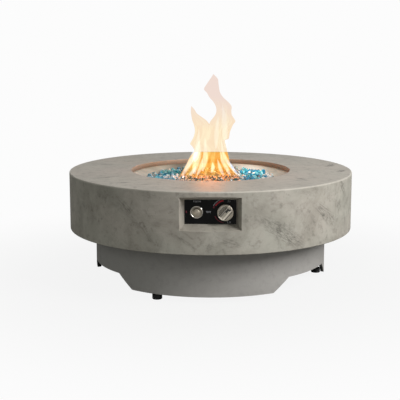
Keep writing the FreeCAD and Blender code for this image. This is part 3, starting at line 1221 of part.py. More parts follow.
def main():
    os.makedirs("parts", exist_ok=True)
    save("top_slab", make_top_slab())
    save("skirt", make_skirt())
    save("opening_band", make_opening_band())
    save("burner_bowl", make_burner_bowl())
    save("burner_ring", make_burner_ring())
    save("burner_washer", make_burner_washer())
    save("burner_locknut", make_burner_locknut())
    save("air_mixer", make_air_mixer())
    save("orifice_elbow", make_orifice_elbow())
    save("glass_bed", make_glass_bed())
    for kind, name in enumerate(("glass_chunks_blue", "glass_chunks_teal", "glass_chunks_clear")):
        save(name, make_glass_chunks(kind))
    save("pilot_hood", make_pilot_hood())
    save("igniter_electrode", make_probe(-PROBE_SPACING, GLASS_LEVEL - ELECTRODE_BODY_DROP, PROBE_TIP_RADIUS))
    save("thermocouple",
         make_probe(PROBE_SPACING, GLASS_LEVEL - THERMOCOUPLE_BODY_DROP, THERMOCOUPLE_TIP_RADIUS))
    save("igniter_lead", make_igniter_lead())
    save("thermocouple_lead", make_thermocouple_lead())
    save("panel_plate", make_panel_plate())
    save("panel_screws", make_panel_screws())
    save("igniter_bezel", make_igniter_bezel())
    save("igniter_button", make_igniter_button())
    save("igniter_spring", make_igniter_spring())
    save("igniter_nut", make_igniter_nut())
    save("igniter_housing", make_igniter_housing())
    save("igniter_battery", make_igniter_battery())
    save("gas_valve_body", make_gas_valve_body())
    save("valve_nut", make_valve_nut())
    save("valve_stem", make_valve_stem())
    save("valve_plunger", make_valve_plunger())
    save("valve_spring", make_valve_spring())
    save("control_knob", make_control_knob())
    save("knob_clip", make_knob_clip())
    save("gas_inlet_tube", make_gas_inlet_tube())
    save("gas_supply_tube", make_gas_supply_tube())
    save("gas_inlet_fitting", make_gas_inlet_fitting())
    save("inlet_locknut", make_inlet_locknut())
    save("tube_clips", make_tube_clips())
    save("clip_screws", make_clip_screws())
    save("deck_plate", make_deck_plate())
    save("deck_bolts", make_deck_bolts())
    save("deck_nuts", make_deck_nuts())
    save("deck_brackets", make_deck_brackets())
    save("skirt_screws", make_skirt_screws())
    save("support_posts", make_support_posts())
    save("base_drum", make_base_drum())
    save("foot_nuts", make_foot_nuts())
    save("foot_screws", make_foot_screws())
    for k in range(SEGMENT_COUNT):
        number = str(k + 1)
        save("foot_bracket_" + number, about_axis(make_foot_bracket(), foot_angle(k)))
        save("foot_stud_" + number, about_axis(make_foot_stud(), foot_angle(k)))
        save("foot_pad_" + number, about_axis(make_foot_pad(), foot_angle(k)))


main()
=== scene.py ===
"""Round gas fire pit table: finishes, fire glass, knob, button, panel marks, and the studio around them.

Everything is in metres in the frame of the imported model: +Z up, the control panel faces -Y.
"""

import math
import random

import bmesh
import bpy
from bpy.props import FloatProperty, FloatVectorProperty, IntProperty, PointerProperty
from mathutils import Matrix, Vector


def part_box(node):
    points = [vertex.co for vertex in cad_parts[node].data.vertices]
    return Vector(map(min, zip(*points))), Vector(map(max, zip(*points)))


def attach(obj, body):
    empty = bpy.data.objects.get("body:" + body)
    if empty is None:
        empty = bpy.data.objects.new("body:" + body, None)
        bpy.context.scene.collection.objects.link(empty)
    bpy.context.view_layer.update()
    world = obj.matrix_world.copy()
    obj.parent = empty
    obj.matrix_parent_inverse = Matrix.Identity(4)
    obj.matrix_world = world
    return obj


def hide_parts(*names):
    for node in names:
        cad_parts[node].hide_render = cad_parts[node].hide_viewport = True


bl_info = {
    "name": "Gas Fire Pit Table",
    "version": (1, 0, 0),
    "blender": (4, 5, 0),
    "location": "View3D > Sidebar > Fire Pit",
    "description": "Dresses the fire pit table: cast top, fire glass, control panel, base and studio",
    "category": "Object",
}

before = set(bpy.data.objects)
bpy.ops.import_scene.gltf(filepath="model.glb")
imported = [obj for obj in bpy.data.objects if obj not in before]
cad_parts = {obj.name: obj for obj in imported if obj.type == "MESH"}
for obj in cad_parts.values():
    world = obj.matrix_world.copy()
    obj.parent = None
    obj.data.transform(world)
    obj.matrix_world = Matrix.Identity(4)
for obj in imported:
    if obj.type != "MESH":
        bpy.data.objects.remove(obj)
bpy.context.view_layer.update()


def linear(code):
    """Linear colour of an sRGB hex code such as #A9A49A."""
    channels = [int(code[k : k + 2], 16) / 255 for k in (1, 3, 5)]
    return [c / 12.92 if c <= 0.04045 else ((c + 0.055) / 1.055) ** 2.4 for c in channels] + [1.0]


def add(tree, kind, wires=None, give=0, **settings):
    """Adds one node, sets and wires its inputs, and returns one of its outputs."""
    made = tree.nodes.new(kind)
    for name, value in settings.items():
        setattr(made, name, value)
    for socket, value in (wires or {}).items():
        if isinstance(value, bpy.types.NodeSocket):
            tree.links.new(value, made.inputs[socket])
        else:
            made.inputs[socket].default_value = value
    return made.outputs[give] if made.outputs else made


def mix(tree, share, low, high):
    """Blends two colours by a share from 0 to 1; a colour may be a hex code."""
    low, high = [linear(colour) if isinstance(colour, str) else colour for colour in (low, high)]
    return add(tree, "ShaderNodeMix", {0: share, 6: low, 7: high}, give=2, data_type="RGBA")


def maths(tree, operation, *values, **more):
    """One step of arithmetic."""
    return add(tree, "ShaderNodeMath", dict(enumerate(values)), operation=operation, **more)


def ramp(tree, value, start, end, low=0.0, high=1.0, smooth=False):
    """Runs from low to high while the value runs from start to end, and stays there past both."""
    return add(tree, "ShaderNodeMapRange",
               {"Value": value, "From Min": start, "From Max": end, "To Min": low, "To Max": high},
               interpolation_type="SMOOTHSTEP" if smooth else "LINEAR")


def noise(tree, place, scale, detail, roughness=0.5, distortion=0.0):
    """Cloudy values round 0.5."""
    return add(tree, "ShaderNodeTexNoise", {"Vector": place, "Scale": scale, "Detail": detail,
                                            "Roughness": roughness, "Distortion": distortion})


def moved(tree, place, scale, turn=(0, 0, 0), shift=(0, 0, 0), **more):
    """Coordinates that are stretched, turned and shifted."""
    return add(tree, "ShaderNodeMapping",
               {"Vector": place, "Location": shift, "Rotation": turn, "Scale": scale}, **more)


def object_place(tree):
    """Object coordinates, whole and split into X, Y and Z."""
    spot = add(tree, "ShaderNodeTexCoord", give="Object")
    return spot, add(tree, "ShaderNodeSeparateXYZ", {"Vector": spot}).node.outputs


def from_axis(tree, parts):
    """Distance from the table's axis."""
    flat = add(tree, "ShaderNodeCombineXYZ", {"X": parts["X"], "Y": parts["Y"]})
    return add(tree, "ShaderNodeVectorMath", {0: flat}, give="Value", operation="LENGTH")


def beside(tree, value, middle, inner, outer, strength, smooth=False):
    """Strength up to the inner distance from a middle value, falling to 0 at the outer one."""
    offset = maths(tree, "ABSOLUTE", maths(tree, "SUBTRACT", value, middle))
    return ramp(tree, offset, inner, outer, strength, 0.0, smooth)


def bump(tree, height, strength, distance):
    """Relief for a shader's normal."""
    return add(tree, "ShaderNodeBump", {"Height": height, "Strength": strength, "Distance": distance})


def wire(shader, socket, value):
    """Wires a value to one of the shader's inputs."""
    shader.id_data.links.new(value, shader.inputs[socket])


def blank_tree(owner):
    """Empty node tree of a material or a world."""
    owner.use_nodes = True
    owner.node_tree.nodes.clear()
    return owner.node_tree


def new_finish(name, **constants):
    """A material with constant values set on its shader; returns it, its tree and its shader."""
    material = bpy.data.materials.new(name)
    material.use_nodes = True
    shader = material.node_tree.nodes["Principled BSDF"]
    for socket, value in constants.items():
        shader.inputs[socket.replace("_", " ")].default_value = value
    return material, material.node_tree, shader


def base_colour(finish):
    """A finish's tree, its shader and the colour that is wired to it."""
    shader = finish.node_tree.nodes["Principled BSDF"]
    return finish.node_tree, shader, shader.inputs["Base Color"].links[0].from_socket


def dress(finish, *nodes):
    """Gives one finish to carried-over CAD nodes."""
    for name in nodes:
        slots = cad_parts[name].data.materials
        slots.clear()
        slots.append(finish)


def show(name, data):
    """New object at the origin, linked to the scene."""
    holder = bpy.data.objects.new(name, data)
    bpy.context.scene.collection.objects.link(holder)
    return holder


def place(name, mesh, body, slot, finish):
    """Links a finished mesh at the origin and lets it ride on its body."""
    mesh.materials.append(finish)
    piece = show(name, mesh)
    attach(piece, body)
    return piece


def plain_mesh(name, build):
    """Named mesh out of a bmesh, which is freed."""
    mesh = bpy.data.meshes.new(name)
    build.to_mesh(mesh)
    build.free()
    return mesh


def mesh_from(name, build, smooth_angle=40.0):
    """Closes a bmesh into a named mesh with outward faces and smooth shading under an angle."""
    bmesh.ops.remove_doubles(build, verts=build.verts, dist=1e-6)
    bmesh.ops.recalc_face_normals(build, faces=build.faces)
    mesh = plain_mesh(name, build)
    mesh.shade_smooth()
    mesh.set_sharp_from_angle(angle=math.radians(smooth_angle))
    return mesh


# Settings


def tone(label, text, code):
    """A colour setting, given as a hex code."""
    return FloatVectorProperty(name=label, description=text, size=4, min=0, max=1, subtype="COLOR",
                               default=linear(code))


def length(label, text, default, low=0.0, high=10.0):
    """A setting in metres."""
    return FloatProperty(name=label, description=text, unit="LENGTH", default=default, min=low, max=high)


def number(label, text, default, kind=FloatProperty, **more):
    """A plain number or an angle."""
    return kind(name=label, description=text, default=default, **more)


class ConcreteSettings(bpy.types.PropertyGroup):
    """Colours and scales of the cast top and the drum."""

    light: tone("Light tone", "Lighter tone of the cast top", "#B7B1A7")
    dark: tone("Dark tone", "Darker tone of the cast top", "#958F85")
    drum: tone("Drum tone", "Colour of the base drum", "#A6A39F")
    cloud_size: length("Cloud size", "Width of the cement's cloudy patches", 0.12, 0.02, 1.0)
    stroke_depth: number("Trowel stroke strength", "How dark the trowel strokes are", 0.5, min=0.0, max=1.0)


class GlassSettings(bpy.types.PropertyGroup):
    """Sizes and colours of the crushed fire glass."""

    spacing: length("Spacing", "Least distance between two pieces of glass", 0.0165, 0.006, 0.05)
    size: length("Piece size", "Half of a piece's usual width", 0.0124, 0.003, 0.02)
    seed: number("Seed", "Number that fixes where the pieces lie", 7, IntProperty, min=0)
    blue: tone("Blue", "Colour of the deep blue glass", "#2A9DC2")
    teal: tone("Turquoise", "Colour of the turquoise glass", "#8CD4DC")
    clear: tone("Clear", "Tint of the clear glass", "#F1F5F3")


class KnobSettings(bpy.types.PropertyGroup):
    """Sizes of the control knob and the button."""

    flutes: number("Flutes", "Number of flutes round the knob", 30, IntProperty, min=6, max=80)
    flute_depth: length("Flute depth", "Depth of each flute", 0.0009, 0.0, 0.003)
    grip_height: length("Grip height", "Height of the grip over the knob's face", 0.0088, 0.002, 0.015)
    grip_width: length("Grip width", "Width of the grip", 0.021, 0.006, 0.03)
    turn: number("Turn", "Angle at which the grip leans to the right", math.radians(41.0), subtype="ANGLE")
    ridges: number("Button ridges", "Concentric ridges on the push button", 2, IntProperty, min=1, max=8)


class PanelMarkSettings(bpy.types.PropertyGroup):
    """Printed marks round the knob."""

    arc_radius: length("Red arc radius", "Radius of the red arc", 0.0372, 0.028, 0.045)
    tick_radius: length("Grey arc radius", "Radius of the thin grey arc", 0.0432, 0.03, 0.05)
    letter_height: length("Letter height", "Height of the setting words", 0.0046, 0.002, 0.01)


class StudioSettings(bpy.types.PropertyGroup):
    """Camera, lamps and floor."""

    lens: number("Focal length", "Camera lens in millimetres", 87.57, min=10.0)
    distance: length("Camera distance", "From the table's axis to the camera", 3.548)
    height: length("Camera height", "Camera above the ground", 0.901)
    pitch: number("Camera pitch", "How far the camera looks down", math.radians(9.96), subtype="ANGLE")
    yaw: number("Camera yaw", "How far the camera turns left", math.radians(0.62), subtype="ANGLE")
    key_power: number("Key light", "Power of the large soft light in watts", 124.0)
    fill_power: number("Fill light", "Power of the weak left light in watts", 9.5)
    sky: number("Surrounding light", "Strength of the white surroundings", 0.27)
    mirror_low: number("Dim side", "Strength that mirrors see behind the camera", 0.12)
    glow: number("Fire glow", "Power of the warm light inside the flames in watts", 0.7)


# Finishes

TABLE_RADIUS = 0.515
KNOB_AXIS = (0.048, 0.3205)
BUTTON_AXIS = (-0.0445, 0.3205)

# How far prints and inlays stand proud of their face, and how deep inlays sit in it
PROUD = 0.00012
SUNK = 0.0008
# Lines cut in the knob's face, and the rungs of its ladder strip
CUT_WIDTH = 0.0018
RUNGS = 17
RUNG_STEP = 0.0022

# Trowel and handling marks: angle in degrees or x, height or y, half length, half width, slant in degrees
# and strength
SKIRT_MARKS = (
    (27.2, 0.250, 0.135, 0.034, -33.0, 0.72),
    (49.0, 0.290, 0.100, 0.030, -35.0, 0.65),
    (62.0, 0.365, 0.055, 0.018, -50.0, 0.8),
    (59.6, 0.314, 0.022, 0.014, -60.0, 0.7),
    (38.8, 0.370, 0.040, 0.010, -20.0, 0.4),
    (7.4, 0.226, 0.042, 0.018, -15.0, 0.6),
    (-8.5, 0.228, 0.055, 0.007, -33.0, 0.55),
    (-7.8, 0.250, 0.028, 0.006, -33.0, 0.5),
    (23.2, 0.323, 0.012, 0.010, 0.0, 0.5),
    (-33.0, 0.330, 0.075, 0.022, -42.0, 0.5),
    (-24.0, 0.262, 0.070, 0.012, -55.0, 0.45),
    (-52.0, 0.300, 0.060, 0.024, -70.0, 0.35),
    (118.0, 0.280, 0.110, 0.026, 25.0, 0.6),
    (-140.0, 0.300, 0.100, 0.024, -30.0, 0.5),
    (172.0, 0.250, 0.060, 0.020, 35.0, 0.5),
)
TOP_MARKS = (
    (-0.370, -0.215, 0.070, 0.020, 35.0, 0.5),
    (-0.300, -0.330, 0.050, 0.014, 20.0, 0.7),
    (-0.225, -0.365, 0.040, 0.012, 10.0, 0.55),
    (0.452, 0.100, 0.060, 0.022, 70.0, 0.7),
    (0.472, -0.050, 0.050, 0.018, 60.0, 0.7),
    (0.312, -0.240, 0.060, 0.016, -60.0, 0.5),
    (-0.400, 0.120, 0.070, 0.020, -20.0, 0.4),
    (0.120, 0.420, 0.080, 0.016, 8.0, 0.4),
    (-0.100, -0.440, 0.050, 0.012, 5.0, 0.3),
)


def marks_on(tree, flat, marks, on_skirt=False):
    """Sum of slanted smudges made of fine strokes, on flat coordinates, from 0 to about 1."""
    total = None
    for first, second, half_length, half_width, slant, strength in marks:
        across = math.radians(first) * TABLE_RADIUS if on_skirt else first
        spot = moved(tree, flat, (half_length, half_width, 1), (0, 0, math.radians(slant)),
                     (across, second, 0.0), vector_type="TEXTURE")
        mask = add(tree, "ShaderNodeTexGradient", {"Vector": spot}, give="Fac", gradient_type="SPHERICAL")
        mask = ramp(tree, mask, 0.0, 0.55, smooth=True)
        # Strokes 26 mm long and 4.5 mm wide, turned a little against the smudge
        strokes = moved(tree, spot, (half_length / 0.026, half_width / 0.0045, 1), (0, 0, 0.12),
                        (first, second, 0))
        streaks = noise(tree, strokes, 1.0, 4.0, 0.75)
        torn = ramp(tree, streaks, 0.46, 0.6, strength * 0.12, strength * 1.8)
        # Shorter strokes across them, as a brush leaves
        crossing = moved(tree, spot, (half_length / 0.016, half_width / 0.003, 1), (0, 0, 1.0),
                         (second, first, 0))
        bristles = noise(tree, crossing, 1.0, 3.0)
        combed = ramp(tree, bristles, 0.52, 0.6, 0.0, strength * 1.1)
        torn = maths(tree, "MAXIMUM", torn, combed)
        mark = maths(tree, "MULTIPLY", mask, torn)
        total = mark if total is None else maths(tree, "ADD", total, mark)
    return total


def cast_concrete(settings):
    """Glass-fibre reinforced cement, hand-trowelled and sealed: cloudy greige, darker trowel smears,
    fine pits, and a thin satin sealer that picks up a weak reflection of the fire."""
    finish, tree, shader = new_finish("cast_concrete", Coat_Weight=0.12, Coat_Roughness=0.4, IOR=1.45)
    spot, parts = object_place(tree)
    front = maths(tree, "MULTIPLY", parts["Y"], -1.0)
    angle = maths(tree, "ARCTAN2", parts["X"], front)
    round_way = maths(tree, "MULTIPLY", angle, TABLE_RADIUS)
    skirt = add(tree, "ShaderNodeCombineXYZ", {"X": round_way, "Y": parts["Z"]})
    clouds = noise(tree, spot, 1 / settings.cloud_size, 7.0, 0.62, 0.6)
    cloud_mix = ramp(tree, clouds, 0.38, 0.6)
    colour = mix(tree, cloud_mix, settings.dark, settings.light)
    # Pinkish and olive drifts, about 200 mm wide
    drift = add(tree, "ShaderNodeTexNoise", {"Vector": spot, "Scale": 5.0, "Detail": 3.0, "W": 2.0},
                noise_dimensions="4D")
    drift_mix = ramp(tree, drift, 0.38, 0.62, 0.0, 0.5)
    tint = mix(tree, drift_mix, "#9D9E91", "#AC9E94")
    colour = mix(tree, 0.45, colour, tint)
    # Streaks of the steel trowel, about 60 mm long and 15 to 20 mm wide
    slanted = moved(tree, spot, (16.0, 60.0, 45.0), (0.5, 0.6, 0.3))
    trowel = noise(tree, slanted, 1.0, 4.0, 0.6)
    trowel_dark = ramp(tree, trowel, 0.55, 0.75, 0.0, 0.22)
    on_top = ramp(tree, parts["Z"], 0.390, 0.3935)
    # Painted light: the flat top is painted a little paler than the skirt, for the sheen it catches facing up
    painted_top_light = maths(tree, "MULTIPLY", on_top, 0.3)
    colour = mix(tree, painted_top_light, colour, "#C9C2B6")
    skirt_marks = marks_on(tree, skirt, SKIRT_MARKS, on_skirt=True)
    top_marks = marks_on(tree, spot, TOP_MARKS)
    top_marks = maths(tree, "MULTIPLY", top_marks, 1.5)
    marks = add(tree, "ShaderNodeMix", {0: on_top, 2: skirt_marks, 3: top_marks})
    marks = maths(tree, "MULTIPLY", marks, settings.stroke_depth)
    # Mottling, blots of about 25 mm and finer
    blots = noise(tree, spot, 38.0, 6.0, 0.72)
    blot_dark = ramp(tree, blots, 0.53, 0.66, 0.0, 0.38)
    # Patches about 65 mm wide, where the cement dried darker
    patches = noise(tree, spot, 15.0, 5.0, 0.65, 1.2)
    patch_dark = ramp(tree, patches, 0.5, 0.66, 0.0, 0.18)
    smear = maths(tree, "ADD", marks, trowel_dark, use_clamp=True)
    smear = maths(tree, "ADD", smear, blot_dark, use_clamp=True)
    smear = maths(tree, "ADD", smear, patch_dark, use_clamp=True)
    colour = mix(tree, smear, colour, "#5F5B53")
    # Air-bubble pits, 2 to 4 mm across
    pits = add(tree, "ShaderNodeTexVoronoi", {"Vector": spot, "Scale": 75.0}, give="Distance")
    pit_mask = ramp(tree, pits, 0.06, 0.16, 1.0, 0.0)
    rare = ramp(tree, drift, 0.5, 0.62, 0.0, 0.35)
    pit_dark = maths(tree, "MULTIPLY", pit_mask, rare)
    colour = mix(tree, pit_dark, colour, "#6A655B")
    # Painted highlight: the rounded top edge is painted paler, for the light its fillet catches
    outward = from_axis(tree, parts)
    near_rim = ramp(tree, outward, 0.508, 0.5125)
    near_top = ramp(tree, parts["Z"], 0.3875, 0.391)
    edge = maths(tree, "MULTIPLY", near_rim, near_top)
    edge = maths(tree, "MULTIPLY", edge, 0.45)
    colour = mix(tree, edge, colour, "#CFC9BD")
    wire(shader, "Base Color", colour)
    rough = ramp(tree, clouds, 0.3, 0.7, 0.56, 0.72)
    wire(shader, "Roughness", rough)
    grain = noise(tree, spot, 160.0, 4.0)
    relief = maths(tree, "MULTIPLY_ADD", clouds, 3.0, grain)
    relief = maths(tree, "SUBTRACT", relief, pit_dark)
    wire(shader, "Normal", bump(tree, relief, 0.35, 0.0012))
    return finish


def drum_render(settings):
    """Smooth cement render, painted to match: cooler and plainer than the top. Its inner face is painted near
    black as painted shade for the dark inside of the drum, which the cut-outs show."""
    finish, tree, shader = new_finish("painted_cement_render", Roughness=0.7)
    spot, parts = object_place(tree)
    outward = from_axis(tree, parts)
    outer_face = ramp(tree, outward, 0.4175, 0.4212)
    clouds = noise(tree, spot, 6.0, 6.0, 0.6)
    amount = ramp(tree, clouds, 0.3, 0.7, 0.0, 0.5)
    colour = mix(tree, amount, settings.drum, "#94918C")
    specks = noise(tree, spot, 55.0, 5.0, 0.7)
    speck_dark = ramp(tree, specks, 0.5, 0.7, 0.0, 0.22)
    colour = mix(tree, speck_dark, colour, "#6F6E69")
    # Painted shade under the skirt: the drum is painted darker towards its top, where the skirt's overhang
    # shades it
    high = ramp(tree, parts["Z"], 0.120, 0.190, 0.0, 0.42, smooth=True)
    colour = mix(tree, high, colour, "#605E5A")
    # Painted shade: the inner face is painted near black for the dark inside of the drum
    colour = mix(tree, outer_face, "#131313", colour)
    wire(shader, "Base Color", colour)
    grain = noise(tree, spot, 120.0, 3.0)
    wire(shader, "Normal", bump(tree, grain, 0.2, 0.0006))
    return finish


def brushed_metal(name, code, second_code, roughness, direction="round", metallic=1.0, size=900.0):
    """Metal with fine brushing: round the table's axis, or along one axis of the piece."""
    finish, tree, shader = new_finish(name, Metallic=metallic)
    spot, parts = object_place(tree)
    if direction == "round":
        lines = add(tree, "ShaderNodeCombineXYZ", {"X": from_axis(tree, parts), "Y": parts["Z"]})
    else:
        lines = moved(tree, spot, direction)
    brush = noise(tree, lines, size, 2.0)
    wide = noise(tree, spot, 22.0, 3.0)
    share = ramp(tree, wide, 0.35, 0.65, 0.0, 0.7)
    colour = mix(tree, share, code, second_code)
    wire(shader, "Base Color", colour)
    rough = ramp(tree, brush, 0.0, 1.0, roughness - 0.08, roughness + 0.08)
    wire(shader, "Roughness", rough)
    wire(shader, "Normal", bump(tree, brush, 0.08, 0.0003))
    return finish


def spun_bowl():
    """Spun stainless steel, brushed round its axis: pale, with painted reflections in place of the fans of
    light that such brushing throws, one bright to the right of the burner and one dark to the left."""
    finish = brushed_metal("spun_stainless_steel", "#C4BDAD", "#A39C8C", 0.42, metallic=0.5)
    tree, shader, colour = base_colour(finish)
    parts = object_place(tree)[1]
    # Painted reflections: a bright fan to the right of the burner and a dark one to the left
    for middle, half, strength, code in ((0.155, 0.100, 1.0, "#FFF8EA"), (-0.120, 0.080, 0.85, "#6A6254")):
        painted_reflection_fan = beside(tree, parts["X"], middle, 0.0, half, strength, smooth=True)
        colour = mix(tree, painted_reflection_fan, colour, code)
    wire(shader, "Base Color", colour)
    return finish


def push_cap():
    """Satin nickel plate on the button: its turned grooves hold a little grime, and a painted reflection of
    the dark recess darkens them along its upper edge."""
    finish = speckled("satin_nickel_button", "#CFC5B4", "#B8AE9D", 0.46, 60.0, metallic=0.85, relief=0.03)
    tree, shader, colour = base_colour(finish)
    parts = object_place(tree)[1]
    flat = add(tree, "ShaderNodeCombineXYZ", {"X": parts["X"], "Y": parts["Z"]})
    outward = add(tree, "ShaderNodeVectorMath", {0: flat, 1: (*BUTTON_AXIS, 0.0)}, give="Value",
                  operation="DISTANCE")
    # Painted reflection: the groove darkening grows towards the top, where the cap would mirror the dark
    # recess
    upper = ramp(tree, parts["Z"], BUTTON_AXIS[1] + 0.001, BUTTON_AXIS[1] + 0.011, 0.15, 1.0)
    for radius, half, strength in ((0.0118, 0.0030, 0.9), (0.0062, 0.0016, 0.45)):
        grime_and_painted_reflection = beside(tree, outward, radius, half * 0.4, half, strength)
        grime_and_painted_reflection = maths(tree, "MULTIPLY", grime_and_painted_reflection, upper)
        colour = mix(tree, grime_and_painted_reflection, colour, "#2B261F")
    wire(shader, "Base Color", colour)
    return finish


def bronze_band():
    """Sheet steel with a bronze powder coat: pinkish brown with soft streaks and a darker lower edge."""
    finish, tree, shader = new_finish("bronze_powder_coat", Metallic=0.25)
    spot, parts = object_place(tree)
    low = ramp(tree, parts["Z"], 0.377, 0.392)
    colour = mix(tree, low, "#7D6857", "#B39C89")
    streaks = noise(tree, moved(tree, spot, (14.0, 14.0, 260.0)), 1.0, 3.0)
    soft = ramp(tree, streaks, 0.4, 0.7, 0.0, 0.35)
    colour = mix(tree, soft, colour, "#836A5B")
    # Painted shade: darker on the right, where the inner wall faces away from the lamp
    painted_right_shade = ramp(tree, parts["X"], 0.10, 0.26, 0.0, 0.55)
    colour = mix(tree, painted_right_shade, colour, "#6C584A")
    wire(shader, "Base Color", colour)
    wire(shader, "Roughness", ramp(tree, streaks, 0.0, 1.0, 0.32, 0.5))
    return finish


def crushed_glass(name, colour, deep_code, transmission):
    """Tempered glass broken into lumps: clear facets with a tint that deepens in the lump."""
    finish, tree, shader = new_finish(name, Roughness=0.06, IOR=1.5, Transmission_Weight=transmission)
    spot, parts = object_place(tree)
    cloud = noise(tree, spot, 90.0, 2.0)
    part = ramp(tree, cloud, 0.35, 0.65)
    tint = mix(tree, part, deep_code, colour)
    patch = noise(tree, spot, 34.0, 1.0)
    dark_part = ramp(tree, patch, 0.47, 0.53)
    # Painted light: to the left, lumps are painted here and there with the blue of neighbouring lumps seen
    # through them
    left = ramp(tree, parts["X"], -0.110, -0.085, 0.75, 0.0)
    left = maths(tree, "MULTIPLY", left, dark_part)
    tint = mix(tree, left, tint, "#3E9FBF")
    # Painted firelight by the burner: lumps are painted amber where the flame lights them and dark teal for
    # the shade between, piece by piece
    sideways = maths(tree, "ABSOLUTE", parts["X"])
    painted_firelight_share = ramp(tree, sideways, 0.085, 0.125, 0.85, 0.0)
    painted_firelight_and_shade = mix(tree, dark_part, "#E4BB8B", "#1F3D3F")
    tint = mix(tree, painted_firelight_share, tint, painted_firelight_and_shade)
    wire(shader, "Base Color", tint)
    return finish


def glass_bed(settings):
    """The fill below the top layer: glass crumbs that read as a dark, broken blue-green ground."""
    finish, tree, shader = new_finish("crushed_glass_fill", Roughness=0.25)
    spot = add(tree, "ShaderNodeTexCoord", give="Object")
    crumbs = add(tree, "ShaderNodeTexVoronoi", {"Vector": spot, "Scale": 85.0}, give="Color")
    share = add(tree, "ShaderNodeSeparateColor", {"Color": crumbs})
    colour = mix(tree, share, "#173F47", "#A9BDB8")
    wire(shader, "Base Color", colour)
    height = add(tree, "ShaderNodeTexVoronoi", {"Vector": spot, "Scale": 85.0}, give="Distance")
    wire(shader, "Normal", bump(tree, height, 0.8, 0.003))
    return finish


def speckled(name, code, second_code, roughness, scale, metallic=0.0, relief=0.2, **more):
    """A plain coating or moulding whose tone and gloss vary a little, as real ones do."""
    finish, tree, shader = new_finish(name, Metallic=metallic, **more)
    spot = add(tree, "ShaderNodeTexCoord", give="Object")
    cloud = noise(tree, spot, scale, 4.0)
    amount = ramp(tree, cloud, 0.35, 0.65)
    colour = mix(tree, amount, code, second_code)
    wire(shader, "Base Color", colour)
    wire(shader, "Roughness", ramp(tree, cloud, 0.0, 1.0, max(0.02, roughness - 0.07), roughness + 0.07))
    wire(shader, "Normal", bump(tree, cloud, relief, 0.0003))
    return finish


# Pieces


def circle(count):
    """Cosine and sine of evenly spaced turns, from 0."""
    turns = [2 * math.pi * k / count for k in range(count)]
    return [(math.cos(turn), math.sin(turn)) for turn in turns]


def lathe(name, profile, x, z, segments=96, smooth_angle=35.0):
    """Ring turned about a line along Y from a closed outline of (radius, y) points."""
    build = bmesh.new()
    rings = []
    for radius, y in profile:
        if radius == 0:
            rings.append([build.verts.new((x, y, z))] * segments)
            continue
        rings.append([build.verts.new((x + radius * side, y, z + radius * up))
                      for up, side in circle(segments)])
    for one, two in zip(rings, rings[1:] + rings[:1]):
        for k in range(segments):
            corners = [one[k], one[(k + 1) % segments], two[(k + 1) % segments], two[k]]
            corners = list(dict.fromkeys(corners))
            if len(corners) > 2:
                build.faces.new(corners)
    return mesh_from(name, build, smooth_angle)


def evaluated_mesh(holder, name):
    """Plain mesh of an object with its modifiers worked out; the object is then removed."""
    graph = bpy.context.evaluated_depsgraph_get()
    graph.update()
    mesh = bpy.data.meshes.new_from_object(holder.evaluated_get(graph))
    mesh.name = name
    bpy.data.objects.remove(holder)
    return mesh


def lump_prototype():
    """One irregular lump with a few facets, as broken tempered glass has."""
    steady = random.Random(4)
    build = bmesh.new()
    for k in range(11):
        height = -1 + 2 * (k + 0.5) / 11
        turn = k * 2.399963
        reach = math.sqrt(1 - height * height) * steady.uniform(0.8, 1.1)
        build.verts.new((reach * math.cos(turn), reach * math.sin(turn), height * steady.uniform(0.6, 0.85)))
    hull = bmesh.ops.convex_hull(build, input=build.verts)
    inside = [v for v in hull["geom_interior"] if isinstance(v, bmesh.types.BMVert)]
    bmesh.ops.delete(build, geom=inside, context="VERTS")
    bmesh.ops.recalc_face_normals(build, faces=build.faces)
    return show("glass_lump", plain_mesh("glass_lump", build))


def bed_surface():
    """Flat disc over the glass bed, open where the pilot hood stands."""
    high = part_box("glass_bed")[1]
    hood_low, hood_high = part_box("pilot_hood")
    radius = high.x - 0.010
    build = bmesh.new()
    rings, sides = 24, 72
    grid = [[build.verts.new((radius * i / rings * across, radius * i / rings * along, high.z))
             for across, along in circle(sides)] for i in range(1, rings + 1)]
    for inner, outer in zip(grid, grid[1:]):
        for k in range(sides):
            corners = [inner[k], outer[k], outer[(k + 1) % sides], inner[(k + 1) % sides]]
            centre = sum((v.co for v in corners), Vector()) / 4
            over_hood = (hood_low.x - 0.008 < centre.x < hood_high.x + 0.008
                         and hood_low.y - 0.008 < centre.y < hood_high.y + 0.008)
            if not over_hood:
                build.faces.new(corners)
    build.faces.new(grid[0])
    return plain_mesh("bed_surface", build)


def node_group(name, **inputs):
    """Geometry Nodes tree with named inputs; returns it, its input sockets and their identifiers."""
    tree = bpy.data.node_groups.new(name, "GeometryNodeTree")
    ids = {}
    for label, kind in {"Geometry": "Geometry", **inputs, "Finish": "Material"}.items():
        socket = tree.interface.new_socket(name=label, in_out="INPUT", socket_type="NodeSocket" + kind)
        ids[label] = socket.identifier
    tree.interface.new_socket(name="Geometry", in_out="OUTPUT", socket_type="NodeSocketGeometry")
    return tree, add(tree, "NodeGroupInput").node.outputs, ids


def close_group(tree, instances, finish):
    """Makes the instances real, gives them their finish and ends the tree."""
    solid = add(tree, "GeometryNodeRealizeInstances", {"Geometry": instances})
    coloured = add(tree, "GeometryNodeSetMaterial", {"Geometry": solid, "Material": finish})
    add(tree, "NodeGroupOutput", {"Geometry": coloured})


def random_vector(tree, low, high, seed):
    """A vector for each lump, between two others."""
    return add(tree, "FunctionNodeRandomValue", {0: low, 1: high, "Seed": seed}, data_type="FLOAT_VECTOR")


